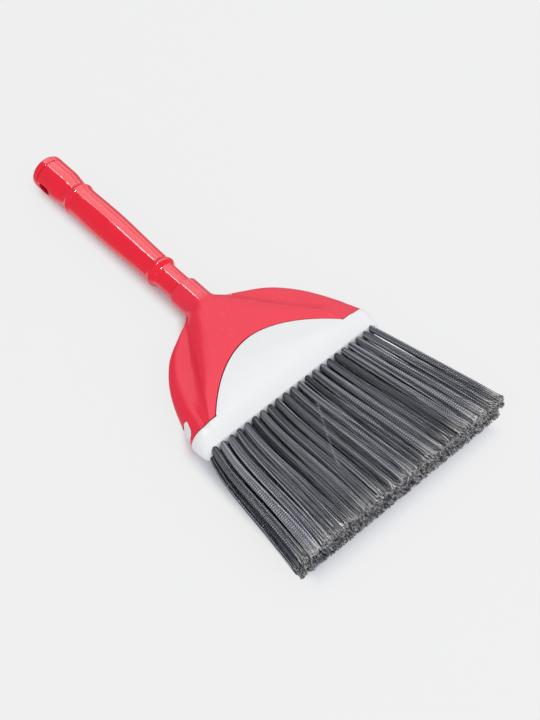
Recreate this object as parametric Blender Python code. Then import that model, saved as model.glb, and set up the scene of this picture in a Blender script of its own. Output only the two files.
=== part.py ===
# Hand broom lying on its back: +Y runs from the bristle tips to the handle's end, +Z is up,
# X is across the head. The head is alike front and back, and left and right.
# All pieces hang on one empty, whose origin lies on the handle's axis at the tufts' root line.

import math
import random

import bmesh
import bpy
from mathutils import Vector

MM = 0.001

# Fits between neighbouring pieces
SEAM_GAP = 0.3 * MM
MERGE_DISTANCE = 0.003 * MM
SHORT_EDGE = 0.01 * MM
CUT_OVERRUN = 4.0 * MM

# Head: outer form, shared by the cover and the block. Heights count from the tufts' root line.
HEAD_HALF_WIDTH = 87.0 * MM
HEAD_HALF_THICK = 15.2 * MM
PARTING_LINE = 12.3 * MM
BELL_HEIGHT = 91.7 * MM
BELL_TOP = PARTING_LINE + BELL_HEIGHT
SCOOP_DEPTH = 2.4 * MM

# Each row: share of the way from the parting line to the bell's top, then a share of a size.
# Half-width, as a share of the head's half-width
OUTLINE_SHARES = (
    (0.00, 0.990), (0.23, 0.913), (0.44, 0.816), (0.60, 0.706),
    (0.74, 0.563), (0.86, 0.356), (0.93, 0.225), (1.00, 0.155),
)
# Height of the centre line above the mid-plane, as a share of the head's half-thickness
CROWN_SHARES = ((0.00, 1.00), (0.40, 1.00), (0.66, 0.93), (0.91, 0.829), (1.00, 0.62))
# Crease between the hump and the wing: place across and height above the mid-plane
CREASE_WIDTH_SHARES = (
    (0.00, 0.813), (0.17, 0.750), (0.455, 0.617), (0.69, 0.574),
    (0.81, 0.620), (0.93, 0.860), (1.00, 0.90),
)
CREASE_HEIGHT_SHARES = (
    (0.00, 0.960), (0.17, 0.875), (0.455, 0.750), (0.69, 0.500),
    (0.81, 0.375), (0.93, 0.140), (1.00, 0.08),
)
# Ridge along the wing, where its top turns down to the side
RIDGE_WIDTH_SHARES = (
    (0.00, 0.854), (0.28, 0.840), (0.50, 0.815), (0.73, 0.810), (0.89, 0.900), (1.00, 0.96),
)
RIDGE_HEIGHT_SHARES = (
    (0.00, 0.880), (0.28, 0.630), (0.50, 0.490), (0.73, 0.370), (0.89, 0.220), (1.00, 0.06),
)
# Depth of the scoop beside the crease, as a share of the scoop's full depth
SCOOP_SHARES = ((0.00, 0.0), (0.15, 0.0), (0.45, 1.0), (0.75, 0.5), (0.95, 0.0), (1.00, 0.0))
# Squareness of the hump's cross-section: a superellipse exponent
HUMP_POWER_SHARES = ((0.00, 5.0), (0.40, 3.6), (0.90, 2.2), (1.00, 2.0))
WING_EDGE_POWER = 2.2
SCOOP_POWER = 0.7

# Bell-shaped window of the cover that shows the block
WINDOW_TO_SIDE = 23.5 * MM
ARCH_HALF_WIDTH = HEAD_HALF_WIDTH - WINDOW_TO_SIDE
ARCH_HEIGHT = 35.7 * MM
ARCH_TOP = PARTING_LINE + ARCH_HEIGHT
ARCH_POWER = 1.9

# Neck: the handle's plug and the cover's socket
NECK_RADIUS = 10.6 * MM
PLUG_LENGTH = 36.7 * MM
PLUG_CHAMFER = 1.0 * MM
SOCKET_LENGTH = 20.0 * MM
SOCKET_RIM = BELL_TOP + SOCKET_LENGTH
SOCKET_BORE = NECK_RADIUS + SEAM_GAP
SOCKET_WALL = 1.7 * MM
SOCKET_RADIUS = SOCKET_BORE + SOCKET_WALL
SOCKET_RIM_ROUND = 0.9 * MM
PLUG_END = SOCKET_RIM - PLUG_LENGTH
SOCKET_FLOOR = PLUG_END - SEAM_GAP
SOCKET_FLOOR_THICK = 7.0 * MM

# Cover
COVER_WALL = 2.0 * MM
CAVITY_TOP = SOCKET_FLOOR - SOCKET_FLOOR_THICK
CATCH_FROM_EDGE = 3.1 * MM
CATCH_LENGTH = 12.6 * MM
CATCH_HALF_THICK = 4.6 * MM
CATCH_CORNER = 1.8 * MM
CATCH_ARM_DEPTH = 12.0 * MM
CATCH_HEAD_DEPTH = 10.5 * MM

# Block
BLOCK_DEPTH = 17.7 * MM
BLOCK_FOOT = PARTING_LINE - BLOCK_DEPTH
BLOCK_TOP = PARTING_LINE - SEAM_GAP
BLOCK_STRAIGHT = 3.3 * MM
BLOCK_ROUND_START = PARTING_LINE - BLOCK_STRAIGHT
BLOCK_FOOT_HALF_THICK = 3.2 * MM
BLOCK_END_ROUND = 3.0 * MM
BLOCK_FACE_POWER = 1.4
BLOCK_END_POWER = 2.6
PLATE_THICKNESS = 2.2 * MM
PLATE_POCKET_DEPTH = 2.0 * MM
RIM_HEIGHT = 7.0 * MM
RIM_WALL = 1.8 * MM
RIM_SEAT = 1.2 * MM
RIB_THICKNESS = 1.6 * MM
RIB_SPACING = 30.0 * MM
RIB_DROP = 3.0 * MM

# Tufts
TUFT_PITCH = 7.44 * MM
TUFT_TO_END = 8.5 * MM
ROW_SPACING = 6.3 * MM
ROW_TAPER_SHARE = 0.12
STRANDS_PER_TUFT = 5
STRAND_RADIUS = 0.5 * MM
STRAND_FROM_SLICE_FACE = 0.15 * MM
STRAND_CIRCLE_AT_TIP = 2.4 * MM
STRAND_ROOT_DEPTH = 1.5 * MM
BRISTLE_REACH = 116.0 * MM
TIP_JITTER = 1.6 * MM
TIP_SPREAD_SHARE = 1.24
TIP_ROW_SPACING = 10.2 * MM
STRAND_BOW = 1.6 * MM
SLICE_HALF_THICK = 2.1 * MM
SLICE_DEPTH = 4.0 * MM
STRAND_CIRCLE = SLICE_HALF_THICK - STRAND_RADIUS - STRAND_FROM_SLICE_FACE
FRONT_TUFTS = int(2 * (HEAD_HALF_WIDTH - TUFT_TO_END) / TUFT_PITCH) + 1

# Handle, from the socket's rim to the cap
COLLAR_FROM_RIM = 23.7 * MM
COLLAR_BEAD_PLACE = SOCKET_RIM + COLLAR_FROM_RIM
COLLAR_BEAD_HEIGHT = 1.4 * MM
COLLAR_BEAD_HALF = 2.6 * MM
GRIP_LENGTH = 106.3 * MM
GRIP_LOW_RADIUS = 10.9 * MM
GRIP_RADIUS = 13.8 * MM
GRIP_WIDEST_SHARE = 0.66
GRIP_END_RADIUS = 13.4 * MM
END_BEAD_PLACE = COLLAR_BEAD_PLACE + GRIP_LENGTH
END_BEAD_HEIGHT = 0.85 * MM
END_BEAD_HALF = 2.4 * MM
WAIST_FROM_BEAD = 5.5 * MM
WAIST_PLACE = END_BEAD_PLACE + WAIST_FROM_BEAD
WAIST_RADIUS = 13.1 * MM
SWELL_LENGTH = 16.5 * MM
BARREL_PLACE = WAIST_PLACE + SWELL_LENGTH
BARREL_LENGTH = 15.0 * MM
BARREL_RADIUS = 14.8 * MM
CAP_SEAM = BARREL_PLACE + BARREL_LENGTH
SEAM_CHAMFER = 0.4 * MM
HANDLE_WALL = 2.3 * MM
NARROW_BORE_END = 12.3 * MM
HANG_SLOT_LENGTH = 13.0 * MM
HANG_SLOT_WIDTH = 7.5 * MM
HANG_SLOT_FROM_SEAM = 1.9 * MM

# End cap
CAP_LENGTH = 7.0 * MM
CAP_EDGE_ROUND = 1.8 * MM
SPIGOT_LENGTH = 1.4 * MM
HANDLE_END = CAP_SEAM + CAP_LENGTH
MIDDLE_OF_LENGTH = (HANDLE_END - BRISTLE_REACH) / 2

# Faces per turn or stretch
TURN_STEPS = 36
SLOT_END_STEPS = 8
BEND_STEPS = 5
HUMP_STEPS = 5
SCOOP_STEPS = 3
EDGE_STEPS = 4
BELL_STATION_SHARES = (
    0.0, 0.10, 0.20, 0.30, 0.39, 0.50, 0.60, 0.69, 0.77, 0.83, 0.88, 0.93, 1.0,
)
BLOCK_STATIONS = 6
ARCH_STEPS = 21
ROW_STATIONS = 10
SEED = 7
SHARP_DEGREES = 35
FLAT_FACE_LIMIT = math.radians(0.05)

RED = (0.80, 0.020, 0.045)
WHITE = (0.86, 0.87, 0.88)
CHARCOAL = (0.075, 0.078, 0.09)


# Curves and outlines

def along_shares(shares, place):
    """Smooth curve through (place, value) pairs, read at a place between 0 and 1."""
    place = min(max(place, shares[0][0]), shares[-1][0])
    last = len(shares) - 1
    index = max(i for i in range(last) if shares[i][0] <= place)
    (x0, y0), (x1, y1) = shares[index], shares[index + 1]

    def slope(i):
        low, high = max(i - 1, 0), min(i + 1, last)
        return (shares[high][1] - shares[low][1]) / (shares[high][0] - shares[low][0])

    span = x1 - x0
    t = (place - x0) / span
    m0, m1 = slope(index) * span, slope(index + 1) * span
    return (
        y0 * (1 + 2 * t) * (1 - t) ** 2 + m0 * t * (1 - t) ** 2
        + y1 * t * t * (3 - 2 * t) - m1 * t * t * (1 - t)
    )


def arch_half_width(height):
    """Half-width of the bell window at a height above the root line."""
    share = (height - PARTING_LINE) / (ARCH_TOP - PARTING_LINE)
    return ARCH_HALF_WIDTH * max(1 - max(share, 0), 0) ** (1 / ARCH_POWER)


def bell_height_share(height):
    return (height - PARTING_LINE) / (BELL_TOP - PARTING_LINE)


def hump_height(across, crown, flat, crease, crease_height, power):
    """Height of the hump: flat in the middle, then a superellipse down to the crease."""
    if across <= flat:
        return crown
    fall = (1 - (crease_height / crown) ** power) ** (1 / power)
    share = fall * (across - flat) / (crease - flat)
    return crown * (1 - share ** power) ** (1 / power)


def bell_quarter(height):
    """A quarter of the head's cross-section, from its centre line to its side."""
    place = bell_height_share(height)
    width = HEAD_HALF_WIDTH * along_shares(OUTLINE_SHARES, place)
    crown = HEAD_HALF_THICK * min(along_shares(CROWN_SHARES, place), 1)
    crease = width * along_shares(CREASE_WIDTH_SHARES, place)
    crease_height = HEAD_HALF_THICK * along_shares(CREASE_HEIGHT_SHARES, place)
    ridge = width * along_shares(RIDGE_WIDTH_SHARES, place)
    ridge_height = HEAD_HALF_THICK * along_shares(RIDGE_HEIGHT_SHARES, place)
    scoop = SCOOP_DEPTH * max(along_shares(SCOOP_SHARES, place), 0)
    power = along_shares(HUMP_POWER_SHARES, place)
    flat = min(arch_half_width(height), crease * HUMP_STEPS / (HUMP_STEPS + 1))
    points = []
    for step in range(HUMP_STEPS + 1):
        across = crease * step / HUMP_STEPS
        points.append((across, hump_height(across, crown, flat, crease, crease_height, power)))
    for step in range(1, SCOOP_STEPS + 1):
        share = step / SCOOP_STEPS
        sag = scoop * math.sin(math.pi * share ** SCOOP_POWER)
        across = crease + (ridge - crease) * share
        points.append((across, crease_height + (ridge_height - crease_height) * share - sag))
    for step in range(1, EDGE_STEPS + 1):
        angle = math.pi / 2 * step / EDGE_STEPS
        across = ridge + (width - ridge) * math.sin(angle) ** (2 / WING_EDGE_POWER)
        rise = ridge_height * max(math.cos(angle), 0) ** (2 / WING_EDGE_POWER)
        points.append((across, 0.0 if step == EDGE_STEPS else rise))
    return points


def full_ring(quarter):
    """Mirror a quarter, from (0, top) to (side, 0), into a closed outline."""
    right = quarter + [(x, -z) for x, z in reversed(quarter[:-1])]
    return right + [(-x, z) for x, z in reversed(right[1:-1])]


def inset(outline, distance):
    """Move each point of a closed outline inwards, square to its neighbours' chord."""
    moved = []
    count = len(outline)
    for i, (x, z) in enumerate(outline):
        before, after = outline[i - 1], outline[(i + 1) % count]
        chord = Vector((after[0] - before[0], after[1] - before[1])).normalized()
        moved.append((x + distance * chord.y, z - distance * chord.x))
    return moved


def bell_ring(height, inwards=0.0):
    ring = full_ring(bell_quarter(height))
    if inwards:
        ring = inset(ring, inwards)
    return ring


def arch_outline(low, clearance=0.0):
    """Bell-shaped outline in X and Y, drawn in from its arched edge by a clearance."""
    half, top = ARCH_HALF_WIDTH - clearance, ARCH_TOP - clearance
    curve = []
    for step in range(ARCH_STEPS + 1):
        share = math.cos(math.pi * step / ARCH_STEPS)
        rise = 1 - abs(share) ** ARCH_POWER
        curve.append((half * share, PARTING_LINE + (top - PARTING_LINE) * rise))
    return [(half, low)] + curve + [(-half, low)]


# Mesh and object helpers

def finish(bm):
    """Merge doubled points, split four-sided faces that aren't flat, and point all faces outwards."""
    bmesh.ops.remove_doubles(bm, verts=bm.verts, dist=MERGE_DISTANCE)
    sides = [face for face in bm.faces if len(face.verts) == 4]
    bmesh.ops.connect_verts_nonplanar(bm, angle_limit=FLAT_FACE_LIMIT, faces=sides)
    bmesh.ops.recalc_face_normals(bm, faces=bm.faces)
    return bm


def loft(rings):
    """Closed solid through rings of points that have the same count."""
    bm = bmesh.new()
    rows = [[bm.verts.new(point) for point in ring] for ring in rings]
    count = len(rows[0])
    for near, far in zip(rows, rows[1:]):
        for i in range(count):
            j = (i + 1) % count
            bm.faces.new((near[i], near[j], far[j], far[i]))
    bm.faces.new(reversed(rows[0]))
    bm.faces.new(rows[-1])
    return finish(bm)


def turned(profile):
    """Solid of revolution about Y from a closed profile of (radius, place) points."""
    bm = bmesh.new()
    verts = [bm.verts.new((radius, place, 0)) for radius, place in profile]
    edges = [bm.edges.new(pair) for pair in zip(verts, verts[1:])]
    if profile[0][0] > 0 and profile[-1][0] > 0:
        edges.append(bm.edges.new((verts[-1], verts[0])))
    bmesh.ops.spin(
        bm, geom=verts + edges, cent=(0, 0, 0), axis=(0, 1, 0),
        angle=2 * math.pi, steps=TURN_STEPS, use_merge=True,
    )
    return finish(bm)


def prism(outline, low, high, axis):
    """Extrude an outline along an axis: outline points are the other two coordinates."""
    def place(point, depth):
        a, b = point
        return {"X": (depth, a, b), "Y": (a, depth, b), "Z": (a, b, depth)}[axis]
    return loft([[place(point, low) for point in outline], [place(point, high) for point in outline]])


def rounded_edge(radius, end, rounding):
    """Quarter round of a turned profile, from its end face out to its side."""
    angles = [math.pi / 2 * step / BEND_STEPS for step in range(BEND_STEPS + 1)]
    return [(radius - rounding * (1 - math.sin(a)), end - rounding * (1 - math.cos(a))) for a in angles]


def rounded_slot(length_from, length_to, half_width, corner):
    """Outline with rounded corners, between two places and a half-width either side."""
    outline = []
    centres = (
        (length_to - corner, half_width - corner, 0),
        (length_from + corner, half_width - corner, 1),
        (length_from + corner, corner - half_width, 2),
        (length_to - corner, corner - half_width, 3),
    )
    for along, across, quadrant in centres:
        for step in range(SLOT_END_STEPS // 2 + 1):
            angle = math.pi / 2 * (quadrant + step / (SLOT_END_STEPS // 2))
            outline.append((along + corner * math.cos(angle), across + corner * math.sin(angle)))
    return outline


def make_material(name, colour, roughness):
    made = bpy.data.materials.new(name)
    made.use_nodes = True
    shader = made.node_tree.nodes["Principled BSDF"]
    shader.inputs["Base Color"].default_value = (*colour, 1)
    shader.inputs["Roughness"].default_value = roughness
    shader.inputs["Metallic"].default_value = 0
    return made


def add_object(name, bm, material=None, parent=None):
    """Turn a bmesh into an object; without a material it is a cutter."""
    mesh = bpy.data.meshes.new(name)
    bm.to_mesh(mesh)
    bm.free()
    made = bpy.data.objects.new(name, mesh)
    bpy.context.scene.collection.objects.link(made)
    made.parent = parent
    if material:
        mesh.materials.append(material)
        mesh.shade_smooth()
        mesh.set_sharp_from_angle(angle=math.radians(SHARP_DEGREES))
    else:
        made.hide_render = True
        made.display_type = "WIRE"
    return made


def combine(body, tool, operation):
    step = body.modifiers.new(operation.lower() + "_" + tool.name, "BOOLEAN")
    step.operation = operation
    step.solver = "EXACT"
    step.object = tool


def close_short_edges(body):
    """Merge the ends of the tiny edges that a Boolean leaves where two edges nearly meet."""
    weld = body.modifiers.new("close_short_edges", "WELD")
    weld.mode = "CONNECTED"
    weld.merge_threshold = SHORT_EDGE


# Pieces

def bell_loft(heights, inwards=0.0, clamp_low=None):
    rings = []
    for height in heights:
        ring_height = max(height, clamp_low) if clamp_low is not None else height
        rings.append([(x, height, z) for x, z in bell_ring(ring_height, inwards)])
    return loft(rings)


def bell_heights(low, high):
    """Stations of the bell between two heights, with both ends."""
    full = [PARTING_LINE + share * (BELL_TOP - PARTING_LINE) for share in BELL_STATION_SHARES]
    inner = [height for height in full if low + SEAM_GAP < height < high - SEAM_GAP]
    return [low] + inner + [high]


def catch_outline(clearance):
    low = PARTING_LINE + CATCH_FROM_EDGE
    return rounded_slot(
        low + clearance, low + CATCH_LENGTH - clearance, CATCH_HALF_THICK - clearance, CATCH_CORNER,
    )


def make_cover(material, parent):
    """Red bell-shaped shell with its handle socket, bell windows and catch windows."""
    cover = add_object("head_cover", bell_loft(bell_heights(PARTING_LINE, BELL_TOP)), material, parent)
    rim = rounded_edge(SOCKET_RADIUS, SOCKET_RIM, SOCKET_RIM_ROUND)
    tube_end = (SOCKET_FLOOR + CAVITY_TOP) / 2
    socket = add_object("socket_tube", turned(
        [(0, SOCKET_RIM)] + rim + [(SOCKET_RADIUS, tube_end), (0, tube_end)],
    ), parent=parent)
    combine(cover, socket, "UNION")
    heights = [PARTING_LINE - CUT_OVERRUN] + bell_heights(PARTING_LINE, CAVITY_TOP)
    cavity = add_object(
        "cover_cavity", bell_loft(heights, COVER_WALL, clamp_low=PARTING_LINE), parent=parent,
    )
    combine(cover, cavity, "DIFFERENCE")
    bore = add_object("socket_bore", turned([
        (0, SOCKET_RIM + CUT_OVERRUN), (SOCKET_BORE, SOCKET_RIM + CUT_OVERRUN),
        (SOCKET_BORE, SOCKET_FLOOR), (0, SOCKET_FLOOR),
    ]), parent=parent)
    combine(cover, bore, "DIFFERENCE")
    reach = HEAD_HALF_THICK + CUT_OVERRUN
    window = add_object(
        "bell_window", prism(arch_outline(PARTING_LINE - CUT_OVERRUN), -reach, reach, "Z"), parent=parent,
    )
    combine(cover, window, "DIFFERENCE")
    side = HEAD_HALF_WIDTH + CUT_OVERRUN
    catches = add_object("catch_windows", prism(catch_outline(0.0), -side, side, "X"), parent=parent)
    combine(cover, catches, "DIFFERENCE")
    close_short_edges(cover)
    return cover


def block_ring(height):
    """The bell's lowest ring, drawn in towards the block's foot."""
    fall = max(BLOCK_ROUND_START - height, 0) / (BLOCK_ROUND_START - BLOCK_FOOT)
    fall = min(fall, 1)
    face = (1 - fall ** BLOCK_FACE_POWER) ** (1 / BLOCK_FACE_POWER)
    end = (1 - fall ** BLOCK_END_POWER) ** (1 / BLOCK_END_POWER)
    thick = BLOCK_FOOT_HALF_THICK + (HEAD_HALF_THICK - BLOCK_FOOT_HALF_THICK) * face
    width = HEAD_HALF_WIDTH - BLOCK_END_ROUND * (1 - end)
    ring = bell_ring(PARTING_LINE)
    widest = max(x for x, _ in ring)
    return [(x * width / widest, height, z * thick / HEAD_HALF_THICK) for x, z in ring]


def block_loft(upper):
    """The block's rounded foot and straight top edge, with the bell's rings at the upper heights."""
    rings = [[(x, height, z) for x, z in bell_ring(height)] for height in reversed(upper)]
    rings.append(block_ring(PARTING_LINE))
    for step in range(BLOCK_STATIONS + 1):
        fall = math.sin(math.pi / 2 * step / BLOCK_STATIONS)
        rings.append(block_ring(BLOCK_ROUND_START - (BLOCK_ROUND_START - BLOCK_FOOT) * fall))
    return loft(rings)


def row_depth(across, row):
    """Distance of a tuft row from the mid-plane: the outer rows close in at the ends."""
    reach = (FRONT_TUFTS - 1) / 2 * TUFT_PITCH
    return row * ROW_SPACING * (1 - ROW_TAPER_SHARE * (across / reach) ** 2)


def tuft_places(row):
    """Places across the head of one row's tufts: the middle row has one more, half a pitch over."""
    count = FRONT_TUFTS + (1 if row == 0 else 0)
    return [(index - (count - 1) / 2) * TUFT_PITCH for index in range(count)]


def foot_height(across, depth):
    """Height of the block's rounded foot, at a place across the head and a distance from the mid-plane."""
    half_thick = HEAD_HALF_THICK
    quarter = bell_quarter(PARTING_LINE)
    for (x0, z0), (x1, z1) in zip(quarter, quarter[1:]):
        if x0 <= abs(across) <= x1:
            half_thick = z0 + (z1 - z0) * (abs(across) - x0) / (x1 - x0)
    middle_depth = abs(depth) * HEAD_HALF_THICK / half_thick
    share = (middle_depth - BLOCK_FOOT_HALF_THICK) / (HEAD_HALF_THICK - BLOCK_FOOT_HALF_THICK)
    fall = (1 - max(share, 0) ** BLOCK_FACE_POWER) ** (1 / BLOCK_FACE_POWER)
    return BLOCK_ROUND_START - fall * (BLOCK_ROUND_START - BLOCK_FOOT)


def slice_top(row):
    return foot_height(0, row * ROW_SPACING) + SLICE_DEPTH


def row_slab(row, clearance, high, low=None):
    """Slab along a row of tufts. Without a lower height, its underside follows the block's foot."""
    half_length = tuft_places(row)[-1] + SLICE_HALF_THICK + clearance
    rings = []
    for step in range(ROW_STATIONS + 1):
        across = half_length * (2 * step / ROW_STATIONS - 1)
        depth = row_depth(across, row)
        near, far = depth - SLICE_HALF_THICK - clearance, depth + SLICE_HALF_THICK + clearance
        near_low = foot_height(across, near) if low is None else low
        far_low = foot_height(across, far) if low is None else low
        corners = ((near_low, near), (far_low, far), (high, far), (high, near))
        rings.append([(across, height, z) for height, z in corners])
    return loft(rings)


def block_outline():
    """The block seen from its face: full width up to its top edge, then the bell plate."""
    side = HEAD_HALF_WIDTH + CUT_OVERRUN
    low = BLOCK_FOOT - CUT_OVERRUN
    plate = arch_outline(BLOCK_TOP, SEAM_GAP)
    return [(side, low), (side, BLOCK_TOP)] + plate + [(-side, BLOCK_TOP), (-side, low)]


def between_plates(parent):
    """The space behind the bell plates, with the ribs left standing in it; it parts the rim too."""
    half = HEAD_HALF_THICK - PLATE_THICKNESS
    floor = BLOCK_TOP - PLATE_POCKET_DEPTH
    space = add_object(
        "plate_pocket", prism(arch_outline(floor, -CUT_OVERRUN), -half, half, "Z"), parent=parent,
    )
    side = ARCH_HALF_WIDTH - COVER_WALL
    top = ARCH_TOP + 2 * CUT_OVERRUN
    width = add_object("plate_pocket_width", prism(
        [(side, 0), (side, top), (-side, top), (-side, 0)], -HEAD_HALF_THICK, HEAD_HALF_THICK, "Z",
    ), parent=parent)
    combine(space, width, "INTERSECT")
    rib_top = ARCH_TOP - RIB_DROP
    for place in (-RIB_SPACING, 0.0, RIB_SPACING):
        left, right = place - RIB_THICKNESS / 2, place + RIB_THICKNESS / 2
        outline = [(left, 0), (right, 0), (right, rib_top), (left, rib_top)]
        rib = add_object("plate_rib", prism(outline, -HEAD_HALF_THICK, HEAD_HALF_THICK, "Z"), parent=parent)
        combine(space, rib, "DIFFERENCE")
    return space


def locating_rim(parent):
    """Wall on the block's top edge that the cover slips over."""
    fit = COVER_WALL + SEAM_GAP
    top = PARTING_LINE + RIM_HEIGHT
    rim = add_object("block_rim", bell_loft(
        [BLOCK_ROUND_START, PARTING_LINE, top], fit, clamp_low=PARTING_LINE,
    ), parent=parent)
    pocket = add_object("rim_pocket", bell_loft(
        [BLOCK_TOP - RIM_SEAT, PARTING_LINE, top + CUT_OVERRUN], fit + RIM_WALL, clamp_low=PARTING_LINE,
    ), parent=parent)
    combine(rim, pocket, "DIFFERENCE")
    return rim


def make_block(material, parent):
    """White tuft block: rounded foot, locating rim, bell plates on ribs, and two side catches."""
    upper = bell_heights(PARTING_LINE, ARCH_TOP + CUT_OVERRUN)[1:]
    block = add_object("brush_block", block_loft(upper), material, parent)
    reach = HEAD_HALF_THICK + CUT_OVERRUN
    outline = add_object("block_outline", prism(block_outline(), -reach, reach, "Z"), parent=parent)
    combine(block, outline, "INTERSECT")
    combine(block, locating_rim(parent), "UNION")
    combine(block, between_plates(parent), "DIFFERENCE")
    add_catches(block, parent)
    for row in (-1, 0, 1):
        cut_row(block, row, parent)
    close_short_edges(block)
    return block


def both_sides(outline, depth):
    """The same prism at each end of the head, from a depth inside it outwards."""
    bm = bmesh.new()
    for side in (-1, 1):
        near = side * (HEAD_HALF_WIDTH - depth)
        far = side * (HEAD_HALF_WIDTH + CUT_OVERRUN)
        rows = [[bm.verts.new((depth, a, b)) for a, b in outline] for depth in (near, far)]
        count = len(outline)
        for i in range(count):
            j = (i + 1) % count
            bm.faces.new((rows[0][i], rows[0][j], rows[1][j], rows[1][i]))
        bm.faces.new(reversed(rows[0]))
        bm.faces.new(rows[1])
    return finish(bm)


def add_catches(block, parent):
    """Springy arms inside the cover, with heads that fill its side windows flush."""
    half = CATCH_HALF_THICK - SEAM_GAP - CATCH_CORNER / 2
    head_top = PARTING_LINE + CATCH_FROM_EDGE + CATCH_LENGTH - SEAM_GAP
    arm_top = head_top - CATCH_CORNER
    heights = bell_heights(PARTING_LINE, head_top + CUT_OVERRUN)
    arm = add_object("catch_arm", both_sides([
        (BLOCK_ROUND_START, -half), (arm_top, -half), (arm_top, half), (BLOCK_ROUND_START, half),
    ], CATCH_ARM_DEPTH), parent=parent)
    fit = COVER_WALL + SEAM_GAP + RIM_WALL / 2
    inside = add_object("arm_backs", bell_loft(
        [BLOCK_ROUND_START - CUT_OVERRUN] + heights, fit, clamp_low=PARTING_LINE,
    ), parent=parent)
    combine(arm, inside, "INTERSECT")
    combine(block, arm, "UNION")
    head = add_object("catch_head", both_sides(catch_outline(SEAM_GAP), CATCH_HEAD_DEPTH), parent=parent)
    outside = add_object("bell_form", bell_loft(heights), parent=parent)
    combine(head, outside, "INTERSECT")
    combine(block, head, "UNION")


def cut_row(block, row, parent):
    """Groove in the block's foot for one row's slice."""
    groove = row_slab(row, SEAM_GAP, slice_top(row) + SEAM_GAP, BLOCK_FOOT - CUT_OVERRUN)
    combine(block, add_object("slice_groove", groove, parent=parent), "DIFFERENCE")


def add_strand(bm, root, middle, tip, turn):
    """Three-sided strand through three points, closed at both ends."""
    rings = []
    for point in (root, middle, tip):
        ring = []
        for side in range(3):
            angle = turn + 2 * math.pi * side / 3
            across, up = STRAND_RADIUS * math.cos(angle), STRAND_RADIUS * math.sin(angle)
            ring.append(bm.verts.new((point[0] + across, point[1], point[2] + up)))
        rings.append(ring)
    for near, far in zip(rings, rings[1:]):
        for i in range(3):
            j = (i + 1) % 3
            bm.faces.new((near[i], near[j], far[j], far[i]))
    bm.faces.new(reversed(rings[0]))
    bm.faces.new(rings[-1])


def make_bristles(name, row, material, parent):
    """One row of tufts: strands that fan out from a slice of the block's foot."""
    draw = random.Random(SEED + row)
    body = add_object(name, row_slab(row, 0.0, slice_top(row)), material, parent)
    bm = bmesh.new()
    for across in tuft_places(row):
        depth = row_depth(across, row)
        turn = draw.random()
        for strand in range(STRANDS_PER_TUFT):
            angle = 2 * math.pi * (strand / STRANDS_PER_TUFT + turn)
            side, up = math.cos(angle), math.sin(angle)
            x, z = across + STRAND_CIRCLE * side, depth + STRAND_CIRCLE * up
            root = (x, foot_height(x, z) + STRAND_ROOT_DEPTH, z)
            tip = (
                across * TIP_SPREAD_SHARE + STRAND_CIRCLE_AT_TIP * side,
                -BRISTLE_REACH + TIP_JITTER * draw.random(),
                row * TIP_ROW_SPACING + STRAND_CIRCLE_AT_TIP * up,
            )
            middle = [(a + b) / 2 for a, b in zip(root, tip)]
            middle[2] += row * STRAND_BOW
            add_strand(bm, root, middle, tip, angle)
    strands = add_object(name + "_strands", finish(bm), parent=parent)
    combine(body, strands, "UNION")
    return body


def eased(start, end, steps=BEND_STEPS):
    """Points of a profile that swings smoothly from one radius to the next."""
    points = []
    for step in range(1, steps + 1):
        share = step / steps
        swing = (1 - math.cos(math.pi * share)) / 2
        points.append((start[0] + (end[0] - start[0]) * swing, start[1] + (end[1] - start[1]) * share))
    return points


def bead(low_radius, high_radius, peak, place, half):
    """Round ring bead on a profile, between the radii on its two sides."""
    points = []
    for step in range(BEND_STEPS + 1):
        angle = math.pi * step / BEND_STEPS
        base = low_radius + (high_radius - low_radius) * step / BEND_STEPS
        points.append((base + (peak - base) * math.sin(angle), place - half * math.cos(angle)))
    return points


def handle_outside():
    """Outer profile of the handle, from the plug's end to the cap seam."""
    profile = [(0, PLUG_END), (NECK_RADIUS - PLUG_CHAMFER, PLUG_END), (NECK_RADIUS, PLUG_END + PLUG_CHAMFER)]
    collar = GRIP_LOW_RADIUS + COLLAR_BEAD_HEIGHT
    profile += bead(NECK_RADIUS, GRIP_LOW_RADIUS, collar, COLLAR_BEAD_PLACE, COLLAR_BEAD_HALF)
    widest = COLLAR_BEAD_PLACE + GRIP_WIDEST_SHARE * GRIP_LENGTH
    profile += eased(profile[-1], (GRIP_RADIUS, widest))
    profile += eased(profile[-1], (GRIP_END_RADIUS, END_BEAD_PLACE - END_BEAD_HALF), BEND_STEPS // 2)
    peak = GRIP_END_RADIUS + END_BEAD_HEIGHT
    profile += bead(GRIP_END_RADIUS, WAIST_RADIUS, peak, END_BEAD_PLACE, END_BEAD_HALF)[1:]
    profile += [(WAIST_RADIUS, WAIST_PLACE)]
    profile += eased(profile[-1], (BARREL_RADIUS, BARREL_PLACE))
    return profile + [(BARREL_RADIUS, CAP_SEAM - SEAM_CHAMFER), (BARREL_RADIUS - SEAM_CHAMFER, CAP_SEAM)]


def handle_bore():
    """Inner profile, from the cap seam to the bore's floor: it never widens inwards, so a core draws out."""
    radius = BARREL_RADIUS - HANDLE_WALL
    profile = [(radius, CAP_SEAM)]
    for outside, place in (
        (BARREL_RADIUS, BARREL_PLACE),
        (WAIST_RADIUS, WAIST_PLACE),
        (GRIP_END_RADIUS, END_BEAD_PLACE),
        (GRIP_RADIUS, COLLAR_BEAD_PLACE + GRIP_WIDEST_SHARE * GRIP_LENGTH),
        (NECK_RADIUS, COLLAR_BEAD_PLACE + NARROW_BORE_END),
        (NECK_RADIUS, PLUG_END + HANDLE_WALL),
    ):
        radius = min(radius, outside - HANDLE_WALL)
        profile.append((radius, place))
    return profile + [(0, PLUG_END + HANDLE_WALL)]


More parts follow.
